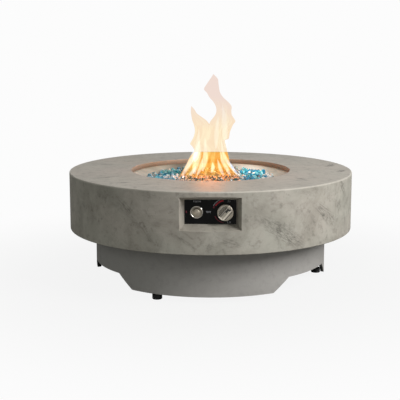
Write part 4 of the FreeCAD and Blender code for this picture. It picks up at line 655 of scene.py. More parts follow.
def glass_tree(lump):
    """Geometry Nodes tree that lays lumps of one colour group on a surface."""
    tree, given, ids = node_group("Fire glass", Spacing="Float", Size="Float", Group="Int", Seed="Int")
    points = add(tree, "GeometryNodeDistributePointsOnFaces",
                 {"Mesh": given["Geometry"], "Distance Min": given["Spacing"], "Density Max": 16000.0,
                  "Seed": given["Seed"]}, distribute_method="POISSON")
    where = add(tree, "GeometryNodeInputPosition")
    parts = add(tree, "ShaderNodeSeparateXYZ", {"Vector": where}).node.outputs
    side = maths(tree, "ABSOLUTE", parts["X"])
    drift = noise(tree, where, 11.0, 1.0)
    chance = add(tree, "FunctionNodeRandomValue", {2: -0.11, 3: 0.11, "Seed": given["Seed"]}, give=1)
    value = maths(tree, "ADD", drift, chance)
    # Blue and turquoise lie about 80 to 205 mm to each side, clear lumps by the burner and near the rim
    outward = ramp(tree, side, 0.19, 0.235, 0.0, 0.25)
    inward = ramp(tree, side, 0.07, 0.12, 0.26, 0.0)
    value = maths(tree, "ADD", value, outward)
    value = maths(tree, "ADD", value, inward)
    first = maths(tree, "GREATER_THAN", value, 0.465)
    second = maths(tree, "GREATER_THAN", value, 0.565)
    group = maths(tree, "ADD", first, second)
    other = add(tree, "FunctionNodeCompare", {0: group, 1: given["Group"], "Epsilon": 0.1},
                data_type="FLOAT", operation="NOT_EQUAL")
    kept = add(tree, "GeometryNodeDeleteGeometry", {"Geometry": points, "Selection": other}, domain="POINT")
    shape = add(tree, "GeometryNodeObjectInfo", {"Object": lump}, give="Geometry")
    turn = random_vector(tree, (0.0, 0.0, 0.0), (6.283, 6.283, 6.283), 3)
    spread = random_vector(tree, (0.75, 0.75, 0.6), (1.2, 1.2, 0.95), 5)
    scale = add(tree, "ShaderNodeVectorMath", {0: spread, "Scale": given["Size"]}, operation="SCALE")
    laid = add(tree, "GeometryNodeInstanceOnPoints",
               {"Points": kept, "Instance": shape, "Rotation": turn, "Scale": scale})
    lift = random_vector(tree, (0.0, 0.0, -0.001), (0.0, 0.0, 0.006), 9)
    raised = add(tree, "GeometryNodeTranslateInstances",
                 {"Instances": laid, "Translation": lift, "Local Space": False})
    close_group(tree, raised, given["Finish"])
    return tree, ids


def grip_outline(half_width, reach, steps=10):
    """Points of a straight bar with round ends, as (x, z)."""
    corner = math.asin(half_width / reach)
    points = []
    for sign in (1, -1):
        for k in range(steps + 1):
            angle = -corner + 2 * corner * k / steps
            points.append((sign * reach * math.sin(angle), sign * reach * math.cos(angle)))
    return points


def ladder_tree(rung):
    """Geometry Nodes tree that lays rungs along a straight line."""
    tree, given, ids = node_group("Grip ladder", Count="Int", Start="Vector", Step="Vector")
    line = add(tree, "GeometryNodeMeshLine",
               {"Count": given["Count"], "Start Location": given["Start"], "Offset": given["Step"]})
    shape = add(tree, "GeometryNodeObjectInfo", {"Object": rung}, give="Geometry")
    laid = add(tree, "GeometryNodeInstanceOnPoints", {"Points": line, "Instance": shape})
    close_group(tree, laid, given["Finish"])
    return tree, ids


def block(x_low, x_high, y_low, y_high, z_low, z_high, round_off=0.0):
    """Box mesh, with its edges rounded off where asked."""
    build = bmesh.new()
    bmesh.ops.create_cube(build, size=1.0)
    for v in build.verts:
        v.co = Vector(((x_low + x_high) / 2 + v.co.x * (x_high - x_low),
                       (y_low + y_high) / 2 + v.co.y * (y_high - y_low),
                       (z_low + z_high) / 2 + v.co.z * (z_high - z_low)))
    if round_off:
        bmesh.ops.bevel(build, geom=list(build.edges), offset=round_off, segments=2, affect="EDGES",
                        profile=0.5)
    return mesh_from("block", build)


def inlay(x_low, x_high, z_low, z_high, face):
    """Thin block sunk in a face and a hair proud of it."""
    return block(x_low, x_high, face - PROUD, face + SUNK, z_low, z_high)


def run_tree(name, mesh, tree, ids, **values):
    """Puts a Geometry Nodes tree on a mesh, sets its inputs by identifier, and returns the plain result."""
    holder = show(name, mesh)
    modifier = holder.modifiers.new(name, "NODES")
    modifier.node_group = tree
    for label, value in values.items():
        modifier[ids[label]] = value
    return evaluated_mesh(holder, name)


def knob_body(settings):
    """Fluted disc with a chamfered face and a hollow back; its grip is upright before it is turned."""
    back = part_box("control_knob")[1].y
    disc_height, radius, steps_per_flute = 0.016, 0.02625, 8
    face = back - disc_height
    segments = settings.flutes * steps_per_flute
    # Insets of the stem's hole, its hub and the hollow round the hub, as in the CAD
    stem, hub, hollow = radius - 0.00405, radius - 0.008, radius - 0.021
    hub_back, hollow_floor = back - 0.004, back - 0.010
    stations = [(face, stem, 0.0), (hub_back, stem, 0.0), (hub_back, hub, 0.0), (hollow_floor, hub, 0.0),
                (hollow_floor, hollow, 0.0), (back, hollow, 0.0), (back, 0.0006, 0.6),
                (back - 0.0008, 0.0, 1.0), (face + 0.0016, 0.0, 1.0), (face + 0.0006, 0.0007, 0.5),
                (face, 0.0019, 0.0), (face, 0.0046, 0.0), (face + 0.0005, 0.0050, 0.0),
                (face + 0.0005, 0.0056, 0.0), (face, 0.0060, 0.0)]
    build = bmesh.new()
    rings = []
    for y, inset, share in stations:
        ring = []
        for k in range(segments):
            turn = 2 * math.pi * k / segments
            notch = max(0.0, math.cos(settings.flutes * turn)) ** 3 * settings.flute_depth * share
            reach = radius - inset - notch
            ring.append(build.verts.new((reach * math.sin(turn), y, reach * math.cos(turn))))
        rings.append(ring)
    for one, two in zip(rings, rings[1:]):
        for k in range(segments):
            build.faces.new([one[k], one[(k + 1) % segments], two[(k + 1) % segments], two[k]])
    build.faces.new(rings[0])
    build.faces.new(rings[-1])
    return mesh_from("knob_body", build, 30.0), face


def knob_grip(settings, face):
    """The raised bar across the face, with soft edges."""
    build = bmesh.new()
    outline = grip_outline(settings.grip_width / 2, 0.0247)
    front = face - settings.grip_height
    near = [build.verts.new((x, front, z)) for x, z in outline]
    far = [build.verts.new((x, face + 0.0005, z)) for x, z in outline]
    build.faces.new(near)
    build.faces.new(far)
    for k in range(len(outline)):
        build.faces.new([near[k], near[(k + 1) % len(near)], far[(k + 1) % len(far)], far[k]])
    rim = [e for e in build.edges if all(abs(v.co.y - front) < 1e-6 for v in e.verts)]
    bmesh.ops.bevel(build, geom=rim, offset=0.0016, segments=4, affect="EDGES", profile=0.5)
    return mesh_from("knob_grip", build, 50.0), front


def turned_to_panel(mesh, turn):
    """Turns a piece built about the origin's Y axis and sets it on the knob's axis."""
    mesh.transform(Matrix.Translation((KNOB_AXIS[0], 0, KNOB_AXIS[1])) @ Matrix.Rotation(turn, 4, "Y"))
    return mesh


def arc_strip(radius, start, end, width_start, width_end, front, steps=48):
    """Flat strip round the knob whose width changes evenly; angles run left from the top."""
    build = bmesh.new()
    pairs = []
    for k in range(steps + 1):
        share = k / steps
        turn = math.radians(start + (end - start) * share)
        half = (width_start + (width_end - width_start) * share) / 2
        x, z = math.sin(turn), math.cos(turn)
        pairs.append([build.verts.new((KNOB_AXIS[0] - r * x, front, KNOB_AXIS[1] + r * z))
                      for r in (radius - half, radius + half)])
    for one, two in zip(pairs, pairs[1:]):
        build.faces.new([one[0], one[1], two[1], two[0]])
    for f in build.faces:
        f.normal_update()
        if f.normal.y > 0:
            f.normal_flip()
    return plain_mesh("arc_strip", build)


def word(text, height, x, z, front, spread=1.0):
    """Printed word on the panel as a flat mesh, centred at a place, with its letters spread out."""
    curve = bpy.data.curves.new("word", "FONT")
    curve.body = text
    curve.size = height / 0.7
    curve.space_character = spread
    curve.offset = height * 0.06
    curve.align_x = "CENTER"
    curve.align_y = "CENTER"
    curve.resolution_u = 3
    mesh = evaluated_mesh(show("word", curve), "word")
    mesh.transform(Matrix.Translation((x, front, z)) @ Matrix.Rotation(math.pi / 2, 4, "X"))
    return mesh


def joined(name, meshes):
    """One mesh out of several; material slots are added afterwards."""
    build = bmesh.new()
    for mesh in meshes:
        build.from_mesh(mesh)
        bpy.data.meshes.remove(mesh)
    return plain_mesh(name, build)


# Operators


class FIREPIT_OT_cast_top(bpy.types.Operator):
    """Finish the cast top"""

    bl_idname = "firepit.cast_top"
    bl_label = "Cast top"

    def execute(self, context):
        dress(cast_concrete(context.scene.firepit_concrete), "top_slab", "skirt")
        return {"FINISHED"}


class FIREPIT_OT_base(bpy.types.Operator):
    """Finish the base drum and the levelling feet"""

    bl_idname = "firepit.base"
    bl_label = "Base and feet"

    def execute(self, context):
        dress(drum_render(context.scene.firepit_concrete), "base_drum")
        # Injection-moulded black nylon: matt, slightly uneven
        nylon = speckled("moulded_black_nylon", "#1B1B1C", "#262627", 0.55, 60.0)
        # Black powder coat on steel: fine orange peel
        coat = speckled("black_powder_coat", "#161617", "#212123", 0.45, 350.0, relief=0.4)
        for k in "123":
            dress(nylon, "foot_pad_" + k)
            dress(coat, "foot_stud_" + k, "foot_bracket_" + k)
        dress(coat, "deck_plate", "deck_brackets", "support_posts", "tube_clips")
        return {"FINISHED"}


class FIREPIT_OT_burner(bpy.types.Operator):
    """Finish the bronze band, the burner bowl and the burner"""

    bl_idname = "firepit.burner"
    bl_label = "Burner and bowl"

    def execute(self, context):
        dress(bronze_band(), "opening_band")
        dress(spun_bowl(), "burner_bowl")
        # Stainless steel that the flame has tinted straw and brown
        hot = brushed_metal("heat_tinted_stainless_steel", "#9A958C", "#8A6E4C", 0.4)
        dress(hot, "burner_ring", "pilot_hood")
        dress(glass_bed(context.scene.firepit_glass), "glass_bed")
        return {"FINISHED"}


class FIREPIT_OT_fire_glass(bpy.types.Operator):
    """Lay the crushed fire glass"""

    bl_idname = "firepit.fire_glass"
    bl_label = "Fire glass"

    def execute(self, context):
        settings = context.scene.firepit_glass
        lump = lump_prototype()
        tree, ids = glass_tree(lump)
        kinds = (("blue", settings.blue, "#14749A", 0.15), ("teal", settings.teal, "#3BA8BC", 0.2),
                 ("clear", settings.clear, "#D3DAD6", 0.3))
        for group, (name, colour, deep, transmission) in enumerate(kinds):
            finish = crushed_glass("crushed_glass_" + name, colour, deep, transmission)
            mesh = run_tree("fire_glass_" + name, bed_surface(), tree, ids, Spacing=settings.spacing,
                            Size=settings.size, Group=group, Seed=settings.seed, Finish=finish)
            mesh.materials.clear()
            piece = place("fire_glass_" + name, mesh, "table", "fire_glass_" + name, finish)
            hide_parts("glass_chunks_" + name)
        bpy.data.objects.remove(lump)
        return {"FINISHED"}


class FIREPIT_OT_panel(bpy.types.Operator):
    """Finish the black panel and print its marks"""

    bl_idname = "firepit.panel"
    bl_label = "Control panel"

    def execute(self, context):
        settings = context.scene.firepit_marks
        # Steel plate with a gloss black stove enamel: deep, with a faint dust haze
        enamel = speckled("gloss_black_enamel", "#050506", "#0A0A0C", 0.22, 30.0, relief=0.05,
                          Specular_IOR_Level=0.25)
        dress(enamel, "panel_plate")
        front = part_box("panel_plate")[0].y - PROUD
        red = speckled("red_screen_print", "#D0283A", "#B01C2C", 0.45, 80.0)
        dull = speckled("dull_red_screen_print", "#7A1A30", "#611426", 0.45, 80.0)
        grey = speckled("grey_screen_print", "#B9BAC0", "#9A9BA0", 0.5, 80.0)
        arc = arc_strip(settings.arc_radius, 9, 57, 0.0046, 0.0046, front)
        place("panel_bright_arc", arc, "table", "panel_black", red)
        tail = arc_strip(settings.arc_radius - 0.0015, 112, 172, 0.0036, 0.0014, front)
        bead = arc_strip(settings.arc_radius + 0.0025, 62, 72, 0.0050, 0.0040, front)
        dot = block(BUTTON_AXIS[0] - 0.0352, BUTTON_AXIS[0] - 0.0308, front, front + PROUD,
                    BUTTON_AXIS[1] - 0.0032, BUTTON_AXIS[1] + 0.0036)
        place("panel_dull_marks", joined("panel_dull_marks", [tail, bead, dot]), "table", "panel_black",
              dull)
        size = settings.letter_height
        x, z = KNOB_AXIS
        marks = [arc_strip(settings.tick_radius, 24, 62, 0.0020, 0.0020, front),
                 word("OFF", size * 1.15, x - 0.0540, z - 0.0005, front, 1.25),
                 word("HI", size, x + 0.0125, z + 0.0345, front, 1.6),
                 word("LO", size, x + 0.0125, z - 0.0340, front, 1.6),
                 word("PUSH", size * 1.1, BUTTON_AXIS[0] + 0.0020, z + 0.0340, front, 1.6)]
        place("panel_grey_marks", joined("panel_grey_marks", marks), "table", "panel_black", grey)
        return {"FINISHED"}


class FIREPIT_OT_button(bpy.types.Operator):
    """Make the igniter's bezel and push button"""

    bl_idname = "firepit.button"
    bl_label = "Igniter button"

    def execute(self, context):
        x, z = BUTTON_AXIS
        low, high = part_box("igniter_bezel")
        front, back = low.y, high.y
        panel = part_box("panel_plate")[0].y
        # Chrome plate on zinc, polished: mirror with hot spots
        chrome = speckled("polished_chrome", "#EFEAE2", "#DFDAD2", 0.14, 40.0, metallic=1.0, relief=0.03)
        outline = [(0.00998, back), (0.01288, back), (0.01288, panel), (0.0210, panel),
                   (0.0210, panel - 0.0035)]
        for k in range(9):
            turn = math.pi / 2 * k / 8
            outline.append((0.0186 + 0.0024 * math.cos(turn), front + 0.0032 - 0.0032 * math.sin(turn)))
        outline += [(0.0176, front + 0.0003), (0.0168, front + 0.0012), (0.0160, front + 0.0030),
                    (0.0158, panel - 0.0020), (0.00998, panel - 0.0020)]
        bezel = place("igniter_bezel_ring", lathe("igniter_bezel_ring", outline, x, z), "table",
                      "bright_chrome", chrome)
        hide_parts("igniter_bezel")
        low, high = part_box("igniter_button")
        front, back = low.y, high.y
        cap_back = back - 0.019
        outline = [(0.0, back), (0.0099, back), (0.0099, cap_back), (0.0155, cap_back),
                   (0.0155, front + 0.0026), (0.0152, front + 0.0031), (0.0140, front + 0.0031),
                   (0.0138, front + 0.0022)]
        ridges = context.scene.firepit_knob.ridges
        steps = ridges * 16
        for k in range(steps + 1):
            share = k / steps
            wave = 0.5 - 0.5 * math.cos(2 * math.pi * ridges * share)
            outline.append((0.0135 * (1 - share) + 0.0004, front + 0.0020 * (1 - share) ** 2 + 0.0010 * wave))
        outline.append((0.0, front))
        button = place("igniter_push_cap", lathe("igniter_push_cap", outline, x, z), "button",
                       "satin_chrome", push_cap())
        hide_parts("igniter_button")
        return {"FINISHED"}


class FIREPIT_OT_knob(bpy.types.Operator):
    """Make the control knob with its grip, ladder strip and pointer notch"""

    bl_idname = "firepit.knob"
    bl_label = "Control knob"

    def execute(self, context):
        settings = context.scene.firepit_knob
        # Die-cast zinc with a satin nickel plate: warm silver
        satin = speckled("satin_nickel_plate", "#D9D0C1", "#C3BBAC", 0.32, 90.0, metallic=0.75, relief=0.05)
        # Matt near-black fill: paint in the pointer notch, and painted shade in the ladder strip, along both
        # sides of the grip and at its upper end
        fill = speckled("black_paint_and_painted_shade", "#141414", "#1E1D1C", 0.6, 90.0)
        body, face = knob_body(settings)
        grip, front = knob_grip(settings, face)
        metal = joined("knob_metal", [body, grip])
        turned_to_panel(metal, settings.turn)
        metal.shade_smooth()
        metal.set_sharp_from_angle(angle=math.radians(35))
        knob = place("knob_metal", metal, "knob", "satin_chrome", satin)
        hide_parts("control_knob")
        half = settings.grip_width / 2
        # Painted shade between the rungs of the ladder strip
        strip = inlay(-half + 0.0004, -half + 0.0072, -0.0190, 0.0190, front)
        notch = inlay(-0.0030, 0.0020, 0.0030, 0.0175, front)
        # Painted shade at the grip's shaded upper end
        corner = inlay(0.0020, 0.0070, 0.0140, 0.0205, front)
        # Painted shade: dark lines on the face along both sides of the grip, for the shade of the grooves
        # there
        places = ((-half - 0.0040, 0.0165), (-half - 0.0074, 0.0115), (half + 0.0030, 0.0170))
        painted_groove_shade = [inlay(x, x + CUT_WIDTH, -reach, reach, face) for x, reach in places]
        dark = turned_to_panel(joined("knob_dark_fill", [strip, notch, corner] + painted_groove_shade), settings.turn)
        place("knob_dark_fill", dark, "knob", "satin_chrome", fill)
        # Painted highlights along the grip's right edge and its lower end: pale inlays that stand for the
        # lamp's glint on the bevels
        polished = speckled("painted_highlight_inlay", "#FFF6E8", "#F3E9DA", 0.3, 90.0, metallic=0.2,
                            relief=0.02)
        side = inlay(half - 0.0042, half - 0.0012, -0.0200, 0.0200, front)
        end = inlay(-half + 0.0010, half - 0.0042, -0.0232, -0.0200, front)
        bevel = turned_to_panel(joined("knob_bright_bevel", [side, end]), settings.turn)
        place("knob_bright_bevel", bevel, "knob", "satin_chrome", polished)
        rung = show("rung", block(-half + 0.0022, -half + 0.0054, front - 0.0006, front + 0.0002,
                                  -0.00085, 0.00085, 0.0001))
        tree, ids = ladder_tree(rung)
        ladder = run_tree("knob_ladder", bpy.data.meshes.new("ladder"), tree, ids, Count=RUNGS,
                          Start=(0.0, 0.0, -RUNG_STEP * (RUNGS - 1) / 2), Step=(0.0, 0.0, RUNG_STEP),
                          Finish=satin)
        bpy.data.objects.remove(rung)
        ladder.materials.clear()
        place("knob_ladder", turned_to_panel(ladder, settings.turn), "knob", "satin_chrome", satin)
        return {"FINISHED"}


class FIREPIT_OT_inner_parts(bpy.types.Operator):
    """Finish the valve, the tubes, the leads and the fasteners inside"""

    bl_idname = "firepit.inner_parts"
    bl_label = "Inner parts"

    def execute(self, context):
        # Machined brass: yellow with fine turning marks
        brass = brushed_metal("machined_brass", "#C9A55A", "#B58F45", 0.28, direction=(1.0, 1.0, 6.0),
                              size=400.0)
        dress(brass, "burner_locknut", "air_mixer", "orifice_elbow", "gas_valve_body", "valve_stem",
              "valve_plunger", "gas_inlet_fitting", "inlet_locknut")
        # Drawn aluminium tube: pale, with long faint draw lines
        tube = brushed_metal("drawn_aluminium", "#CFD1D3", "#B9BCBF", 0.32, direction=(6.0, 1.0, 6.0),
                             size=300.0)
        dress(tube, "gas_inlet_tube", "gas_supply_tube")
        # Bright zinc plate: bluish with a yellow drift
        zinc = speckled("zinc_plated_steel", "#B9BEC4", "#C7C3AE", 0.34, 120.0, metallic=1.0)
        fasteners = [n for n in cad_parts
                     if n.endswith(("_screws", "_bolts", "_nuts", "_spring", "_washer"))]
        dress(zinc, "valve_nut", "knob_clip", *fasteners)
        # Glazed alumina and the copper sheath of the thermocouple
        dress(speckled("white_alumina", "#E9E4DA", "#D8D2C4", 0.35, 150.0), "igniter_electrode")
        copper = brushed_metal("drawn_copper", "#B87753", "#8E5A40", 0.36, direction=(1.0, 6.0, 6.0),
                               size=300.0)
        dress(copper, "thermocouple", "thermocouple_lead")
        # Silicone rubber sleeve, dull red
        dress(speckled("red_silicone_rubber", "#9E2B22", "#8A241D", 0.6, 200.0), "igniter_lead")
        # Glass-filled nylon mouldings
        dress(speckled("black_moulded_nylon", "#202021", "#2B2B2C", 0.5, 150.0), "igniter_nut",
              "igniter_housing")
        dress(speckled("foil_battery_jacket", "#27414F", "#1F3540", 0.3, 60.0, metallic=0.6),
              "igniter_battery")
        return {"FINISHED"}


# Flame outlines as (height, left, right) in metres at the table's axis
FLAME_BODY = (
    (0.5551, -0.0605, 0.0815), (0.5442, -0.0581, 0.077), (0.5313, -0.0577, 0.0719),
    (0.5153, -0.0615, 0.0694), (0.505, -0.066, 0.0662), (0.4992, -0.0695, 0.0545),
    (0.4863, -0.0749, 0.0568), (0.4767, -0.0667, 0.059), (0.4606, -0.0604, 0.0615),
    (0.4414, -0.0737, 0.0672), (0.4221, -0.0832, 0.0704), (0.4028, -0.0933, 0.0767),
    (0.3835, -0.1053, 0.0909), (0.3675, -0.1164, 0.1083), (0.3562, -0.1227, 0.121),
)
FLAME_TALL = (
    (0.7401, 0.0096, 0.0109), (0.7241, -0.0009, 0.026), (0.708, -0.0119, 0.0286),
    (0.6871, -0.024, 0.0317), (0.6727, -0.0129, 0.0355), (0.6566, -0.004, 0.0466),
    (0.6405, 0.0102, 0.064), (0.6245, 0.0188, 0.0767), (0.6084, 0.0213, 0.0761),
    (0.5924, 0.0166, 0.0783), (0.5715, 0.0007, 0.0909), (0.5602, -0.0045, 0.0846),
    (0.5551, -0.0045, 0.0815),
)
FLAME_LEFT = (
    (0.6245, -0.0702, -0.0689), (0.6116, -0.0718, -0.0578), (0.5988, -0.0714, -0.0499),
    (0.5859, -0.0692, -0.0325), (0.5731, -0.0667, -0.0151), (0.5602, -0.0616, -0.0045),
    (0.5551, -0.0605, -0.0045),
)
# Bright strands: thickness, then (x, height)
FLAME_STRANDS = (
    (0.0100, (-0.1060, 0.3640), (-0.0850, 0.3980), (-0.0600, 0.4420), (-0.0460, 0.4850), (-0.0415, 0.5450)),
    (0.0120, (-0.0600, 0.3760), (-0.0520, 0.4200), (-0.0450, 0.4650), (-0.0410, 0.5000)),
    (0.0070, (-0.0800, 0.3640), (-0.0640, 0.3850), (-0.0540, 0.4060)),
    (0.0080, (-0.0290, 0.3860), (-0.0200, 0.4220), (-0.0180, 0.4600), (-0.0200, 0.5100)),
    (0.0060, (-0.0480, 0.3700), (-0.0360, 0.4000), (-0.0290, 0.4350)),
    (0.0060, (0.0050, 0.3800), (0.0100, 0.4000), (0.0080, 0.4200)),
    (0.0075, (0.1080, 0.3620), (0.0850, 0.3900), (0.0600, 0.4230), (0.0450, 0.4550), (0.0410, 0.5000)),
    (0.0070, (0.0740, 0.3640), (0.0590, 0.3980), (0.0440, 0.4250), (0.0360, 0.4600)),
    (0.0060, (0.0480, 0.3680), (0.0360, 0.3960), (0.0260, 0.4300)),
    (0.0090, (0.0560, 0.4700), (0.0530, 0.5300), (0.0500, 0.5900), (0.0420, 0.6300)),
    (0.0070, (0.0200, 0.4700), (0.0220, 0.5300), (0.0280, 0.5900)),
)
# Linear colours of the wide flame and of its bright strands. Glows: low, its streak, high, its streak, tip.
# Tints of what is seen through: low, high, tip, rim.
VEIL_GLOWS = ((0.48, 0.165, 0.022), (0.52, 0.31, 0.100), (0.05, 0.03, 0.015), (0.07, 0.085, 0.055),
              (0.015, 0.012, 0.004))
VEIL_TINTS = ((0.67, 0.70, 0.42), (0.945, 0.855, 0.725), (0.93, 0.845, 0.81), (0.90, 0.80, 0.79))
CORE_GLOWS = ((0.28, 0.36, 0.50), (0.30, 0.38, 0.55), (0.02, 0.06, 0.08), (0.03, 0.08, 0.12),
              (0.0, 0.02, 0.04))
CORE_TINTS = ((0.95, 0.95, 0.95), (1.0, 1.0, 1.0), (1.0, 1.0, 1.0), (1.0, 1.0, 1.0))
# The camera sees the table behind the flame up to this height at the axis, along a ray of this slope
TABLE_BEHIND = 0.4568
SIGHT_SLOPE = 0.1252


def tube_between(build, rings):
    """Joins rings of corners one after the other."""
    for one, two in zip(rings, rings[1:]):
        for k in range(len(one)):
            after = (k + 1) % len(one)
            build.faces.new([one[k], one[after], two[after], two[k]])


def eased(stations, between=5):
    """More stations between the given ones, on smooth curves through them."""
    padded = (stations[0],) + tuple(stations) + (stations[-1],)
    result = []
    for before, one, two, after in zip(padded, padded[1:], padded[2:], padded[3:]):
        for k in range(between):
            t = k / between
            result.append([0.5 * (2 * b + (c - a) * t + (2 * a - 5 * b + 4 * c - d) * t * t
                                  + (3 * b - a - 3 * c + d) * t ** 3)
                           for a, b, c, d in zip(before, one, two, after)])
    return result + [list(stations[-1])]


def flame_shell(name, stations, sides=28):
    """Tongue of flame: ellipses between the left and right outline, joined upwards. Its map runs across
    the tongue from 0 to 1 and up it in metres."""
    build = bmesh.new()
    rings = []
    for height, left, right in eased(stations):
        centre, half = (left + right) / 2, max(0.0004, (right - left) / 2)
        depth = min(half * 0.3, 0.004 + max(0.0, FLAME_BODY[0][0] - height) * 0.4)
        rings.append([build.verts.new((centre + half * side, depth * back, height))
                      for side, back in circle(sides)])
    tube_between(build, rings)
    layer = build.loops.layers.uv.new("across")
    share = {v: 0.5 + 0.5 * side for ring in rings for v, (side, back) in zip(ring, circle(sides))}
    for face in build.faces:
        for loop in face.loops:
            loop[layer].uv = (share[loop.vert], loop.vert.co.z)
    return mesh_from(name, build, 180.0)


def flame_strand(thickness, points, steps=14, sides=10):
    """Thin bright strand along a line that narrows to both ends."""
    build = bmesh.new()
    rings = []
    for k in range(steps + 1):
        share = k / steps * (len(points) - 1)
        low = min(int(share), len(points) - 2)
        part = share - low
        x = points[low][0] * (1 - part) + points[low + 1][0] * part
        z = points[low][1] * (1 - part) + points[low + 1][1] * part
        radius = thickness * (0.08 + math.sin(math.pi * min(1.0, 0.1 + 0.9 * k / steps)) * 1.5)
        rings.append([build.verts.new((x + radius * side, radius * back, z)) for side, back in circle(sides)])
    tube_between(build, rings)
    return mesh_from("strand", build, 180.0)


def flame_finish(name, glows, tints, edges):
    """Gas flame: it glows in streaks, lets what is behind it through, and tints it. Low lies before the
    table and high before the background. Edges say where the rim starts and ends to thin."""
    finish = bpy.data.materials.new(name)
    tree = blank_tree(finish)
    spot, parts = object_place(tree)
    height = parts["Z"]
    level = maths(tree, "MULTIPLY_ADD", parts["Y"], SIGHT_SLOPE, height)
    high = ramp(tree, level, TABLE_BEHIND - 0.0015, TABLE_BEHIND + 0.0015)
    path = add(tree, "ShaderNodeLightPath").node.outputs
    direct = maths(tree, "SUBTRACT", 1.0, path["Is Glossy Ray"])
    high = maths(tree, "MULTIPLY", high, direct)
    tip = ramp(tree, height, 0.54, 0.66)
    # Streaks follow the map: about eight across the tongue, each about 110 mm long
    across = add(tree, "ShaderNodeUVMap", uv_map="across")
    stretched = moved(tree, across, (8.0, 9.0, 1.0))
    licks = noise(tree, stretched, 1.0, 3.0, 0.5, 0.5)
    share = ramp(tree, licks, 0.42, 0.66, smooth=True)
    low_glow, low_streak, high_glow, high_streak, tip_glow = [(*colour, 1) for colour in glows]
    low = mix(tree, share, low_glow, low_streak)
    upper = mix(tree, share, high_glow, high_streak)
    upper = mix(tree, tip, upper, tip_glow)
    glow = mix(tree, high, low, upper)
    power = ramp(tree, path["Is Glossy Ray"], 0.0, 1.0, 1.0, 1.1)
    light = add(tree, "ShaderNodeEmission", {"Color": glow, "Strength": power})
    low_veil, high_veil, tip_veil, rim_veil = [(*colour, 1) for colour in tints]
    # Towards its rim the thin flame turns pinkish
    facing = add(tree, "ShaderNodeLayerWeight", {"Blend": 0.5}, give="Facing")
    rim = ramp(tree, facing, 0.35, 0.85)
    high_veil = mix(tree, rim, high_veil, rim_veil)
    veil = mix(tree, tip, high_veil, tip_veil)
    veil = mix(tree, high, low_veil, veil)
    through = add(tree, "ShaderNodeBsdfTransparent", {"Color": veil})
    body = add(tree, "ShaderNodeAddShader", {0: through, 1: light})
    soft = ramp(tree, facing, edges[0], edges[1], 1.0, 0.0, smooth=True)
    rising = ramp(tree, height, 0.360, 0.398, 0.3, 1.0)
    soft = maths(tree, "MULTIPLY", soft, rising)
    clear = add(tree, "ShaderNodeBsdfTransparent")
    whole = add(tree, "ShaderNodeMixShader", {0: soft, 1: clear, 2: body})
    add(tree, "ShaderNodeOutputMaterial", {"Surface": whole})
    return finish


class FIREPIT_OT_flames(bpy.types.Operator):
    """Light the fire: flames that belong to the picture, not to the table"""

    bl_idname = "firepit.flames"
    bl_label = "Flames"

    def execute(self, context):
        veil = flame_finish("gas_flame", VEIL_GLOWS, VEIL_TINTS, (0.7, 1.0))
        core = flame_finish("gas_flame_core", CORE_GLOWS, CORE_TINTS, (0.0, 0.62))
        outlines = (("flame_body", FLAME_BODY), ("flame_tall", FLAME_TALL), ("flame_left", FLAME_LEFT))
        pieces = [(name, flame_shell(name, stations), veil) for name, stations in outlines]
        strands = joined("flame_strands", [flame_strand(width, points) for width, *points in FLAME_STRANDS])
        for name, mesh, finish in pieces + [("flame_strands", strands, core)]:
            mesh.materials.append(finish)
            show(name, mesh)
        for name, code, share, where in (("fire_glow", "#FF8330", 1.4, (0.0, -0.06, 0.47)),
                                         ("fire_glow_right", "#FFEEDA", 0.5, (0.15, 0.08, 0.40))):
            lamp = bpy.data.lights.new(name, "POINT")
            lamp.energy = context.scene.firepit_studio.glow * share
            lamp.color = linear(code)[:3]
            lamp.shadow_soft_size = 0.05
            holder = show(name, lamp)
            holder.location = where
            holder.visible_glossy = name == "fire_glow"
        return {"FINISHED"}


def area_lamp(name, power, size, place_at, aim, code="#FFFFFF", mirrored=True):
    """Square soft lamp that looks at a point."""
    lamp = bpy.data.lights.new(name, "AREA")
    lamp.energy = power
    lamp.size = size
    lamp.color = linear(code)[:3]
    holder = show(name, lamp)
    holder.location = place_at
    holder.visible_glossy = mirrored
    holder.rotation_euler = (Vector(aim) - Vector(place_at)).to_track_quat("-Z", "Y").to_euler()


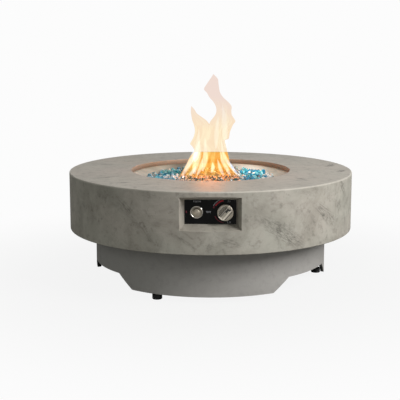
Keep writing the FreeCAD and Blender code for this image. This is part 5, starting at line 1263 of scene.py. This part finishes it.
class FIREPIT_OT_studio(bpy.types.Operator):
    """Set the camera, the lamps, the white surroundings and the floor"""

    bl_idname = "firepit.studio"
    bl_label = "Studio"

    def execute(self, context):
        settings = context.scene.firepit_studio
        scene = context.scene
        scene.view_settings.view_transform = "Standard"
        camera = bpy.data.cameras.new("camera")
        camera.lens = settings.lens
        camera.sensor_width = 36.0
        holder = show("camera", camera)
        holder.location = (0.0, -settings.distance, settings.height)
        holder.rotation_euler = (math.pi / 2 - settings.pitch, 0.0, settings.yaw)
        scene.camera = holder
        area_lamp("key", settings.key_power, 1.7, (2.6, -2.0, 2.2), (0.0, 0.0, 0.3))
        area_lamp("fill", settings.fill_power, 2.0, (-2.95, -1.75, 1.6), (0.0, 0.0, 0.3), "#EAF4EA",
                  mirrored=False)
        world = bpy.data.worlds.new("surroundings")
        scene.world = world
        tree = blank_tree(world)
        path = add(tree, "ShaderNodeLightPath").node.outputs
        seen = maths(tree, "MAXIMUM", path["Is Camera Ray"], path["Is Transmission Ray"])
        # Mirrors see a studio that is bright at the upper right and dim behind the camera
        way = add(tree, "ShaderNodeTexCoord", give="Generated")
        side = add(tree, "ShaderNodeVectorMath", {0: way, 1: (0.75, 0.35, 0.65)}, give="Value",
                   operation="DOT_PRODUCT")
        mirror = ramp(tree, side, -0.55, 0.75, settings.mirror_low, 1.0)
        glossy = add(tree, "ShaderNodeMix", {0: path["Is Glossy Ray"], 2: settings.sky, 3: mirror})
        strength = add(tree, "ShaderNodeMix", {0: seen, 2: glossy, 3: 1.0})
        sky = add(tree, "ShaderNodeBackground", {"Color": linear("#FCFCFC"), "Strength": strength})
        add(tree, "ShaderNodeOutputWorld", {"Surface": sky})
        build = bmesh.new()
        bmesh.ops.create_grid(build, x_segments=4, y_segments=4, size=30.0)
        floor_mesh = plain_mesh("floor", build)
        show("floor", floor_mesh)
        finish = bpy.data.materials.new("white_studio_floor")
        tree = blank_tree(finish)
        spot = add(tree, "ShaderNodeTexCoord", give="Object")
        reach = add(tree, "ShaderNodeVectorMath", {0: spot}, give="Value", operation="LENGTH")
        far = ramp(tree, reach, 0.45, 1.5, smooth=True)
        path = add(tree, "ShaderNodeLightPath").node.outputs
        seen = path["Is Camera Ray"]
        matt = add(tree, "ShaderNodeBsdfDiffuse", {"Color": linear("#A6A6A3")})
        white = add(tree, "ShaderNodeEmission", {"Color": linear("#FCFCFC"), "Strength": 1.0})
        near = ramp(tree, far, 0.0, 1.0, 0.91, 1.0)
        share = maths(tree, "MULTIPLY", near, seen)
        both = add(tree, "ShaderNodeMixShader", {0: share, 1: matt, 2: white})
        add(tree, "ShaderNodeOutputMaterial", {"Surface": both})
        floor_mesh.materials.append(finish)
        return {"FINISHED"}


class FIREPIT_PT_sidebar(bpy.types.Panel):
    """Lists the steps that dress the table"""

    bl_idname = "FIREPIT_PT_sidebar"
    bl_label = "Fire Pit Table"
    bl_space_type = "VIEW_3D"
    bl_region_type = "UI"
    bl_category = "Fire Pit"

    def draw(self, context):
        for operator in OPERATORS:
            self.layout.operator(operator.bl_idname)


SETTINGS = (("firepit_concrete", ConcreteSettings), ("firepit_glass", GlassSettings),
            ("firepit_knob", KnobSettings), ("firepit_marks", PanelMarkSettings),
            ("firepit_studio", StudioSettings))
OPERATORS = (FIREPIT_OT_studio, FIREPIT_OT_cast_top, FIREPIT_OT_base, FIREPIT_OT_burner,
             FIREPIT_OT_fire_glass, FIREPIT_OT_panel, FIREPIT_OT_button, FIREPIT_OT_knob,
             FIREPIT_OT_inner_parts, FIREPIT_OT_flames)


def register():
    for name, group in SETTINGS:
        bpy.utils.register_class(group)
        setattr(bpy.types.Scene, name, PointerProperty(type=group))
    for operator in OPERATORS:
        bpy.utils.register_class(operator)
    bpy.utils.register_class(FIREPIT_PT_sidebar)


def unregister():
    bpy.utils.unregister_class(FIREPIT_PT_sidebar)
    for operator in reversed(OPERATORS):
        bpy.utils.unregister_class(operator)
    for name, group in reversed(SETTINGS):
        delattr(bpy.types.Scene, name)
        bpy.utils.unregister_class(group)


def main():
    register()
    for operator in OPERATORS:
        family, step = operator.bl_idname.split(".")
        getattr(getattr(bpy.ops, family), step)()


if __name__ == "__main__":
    main()
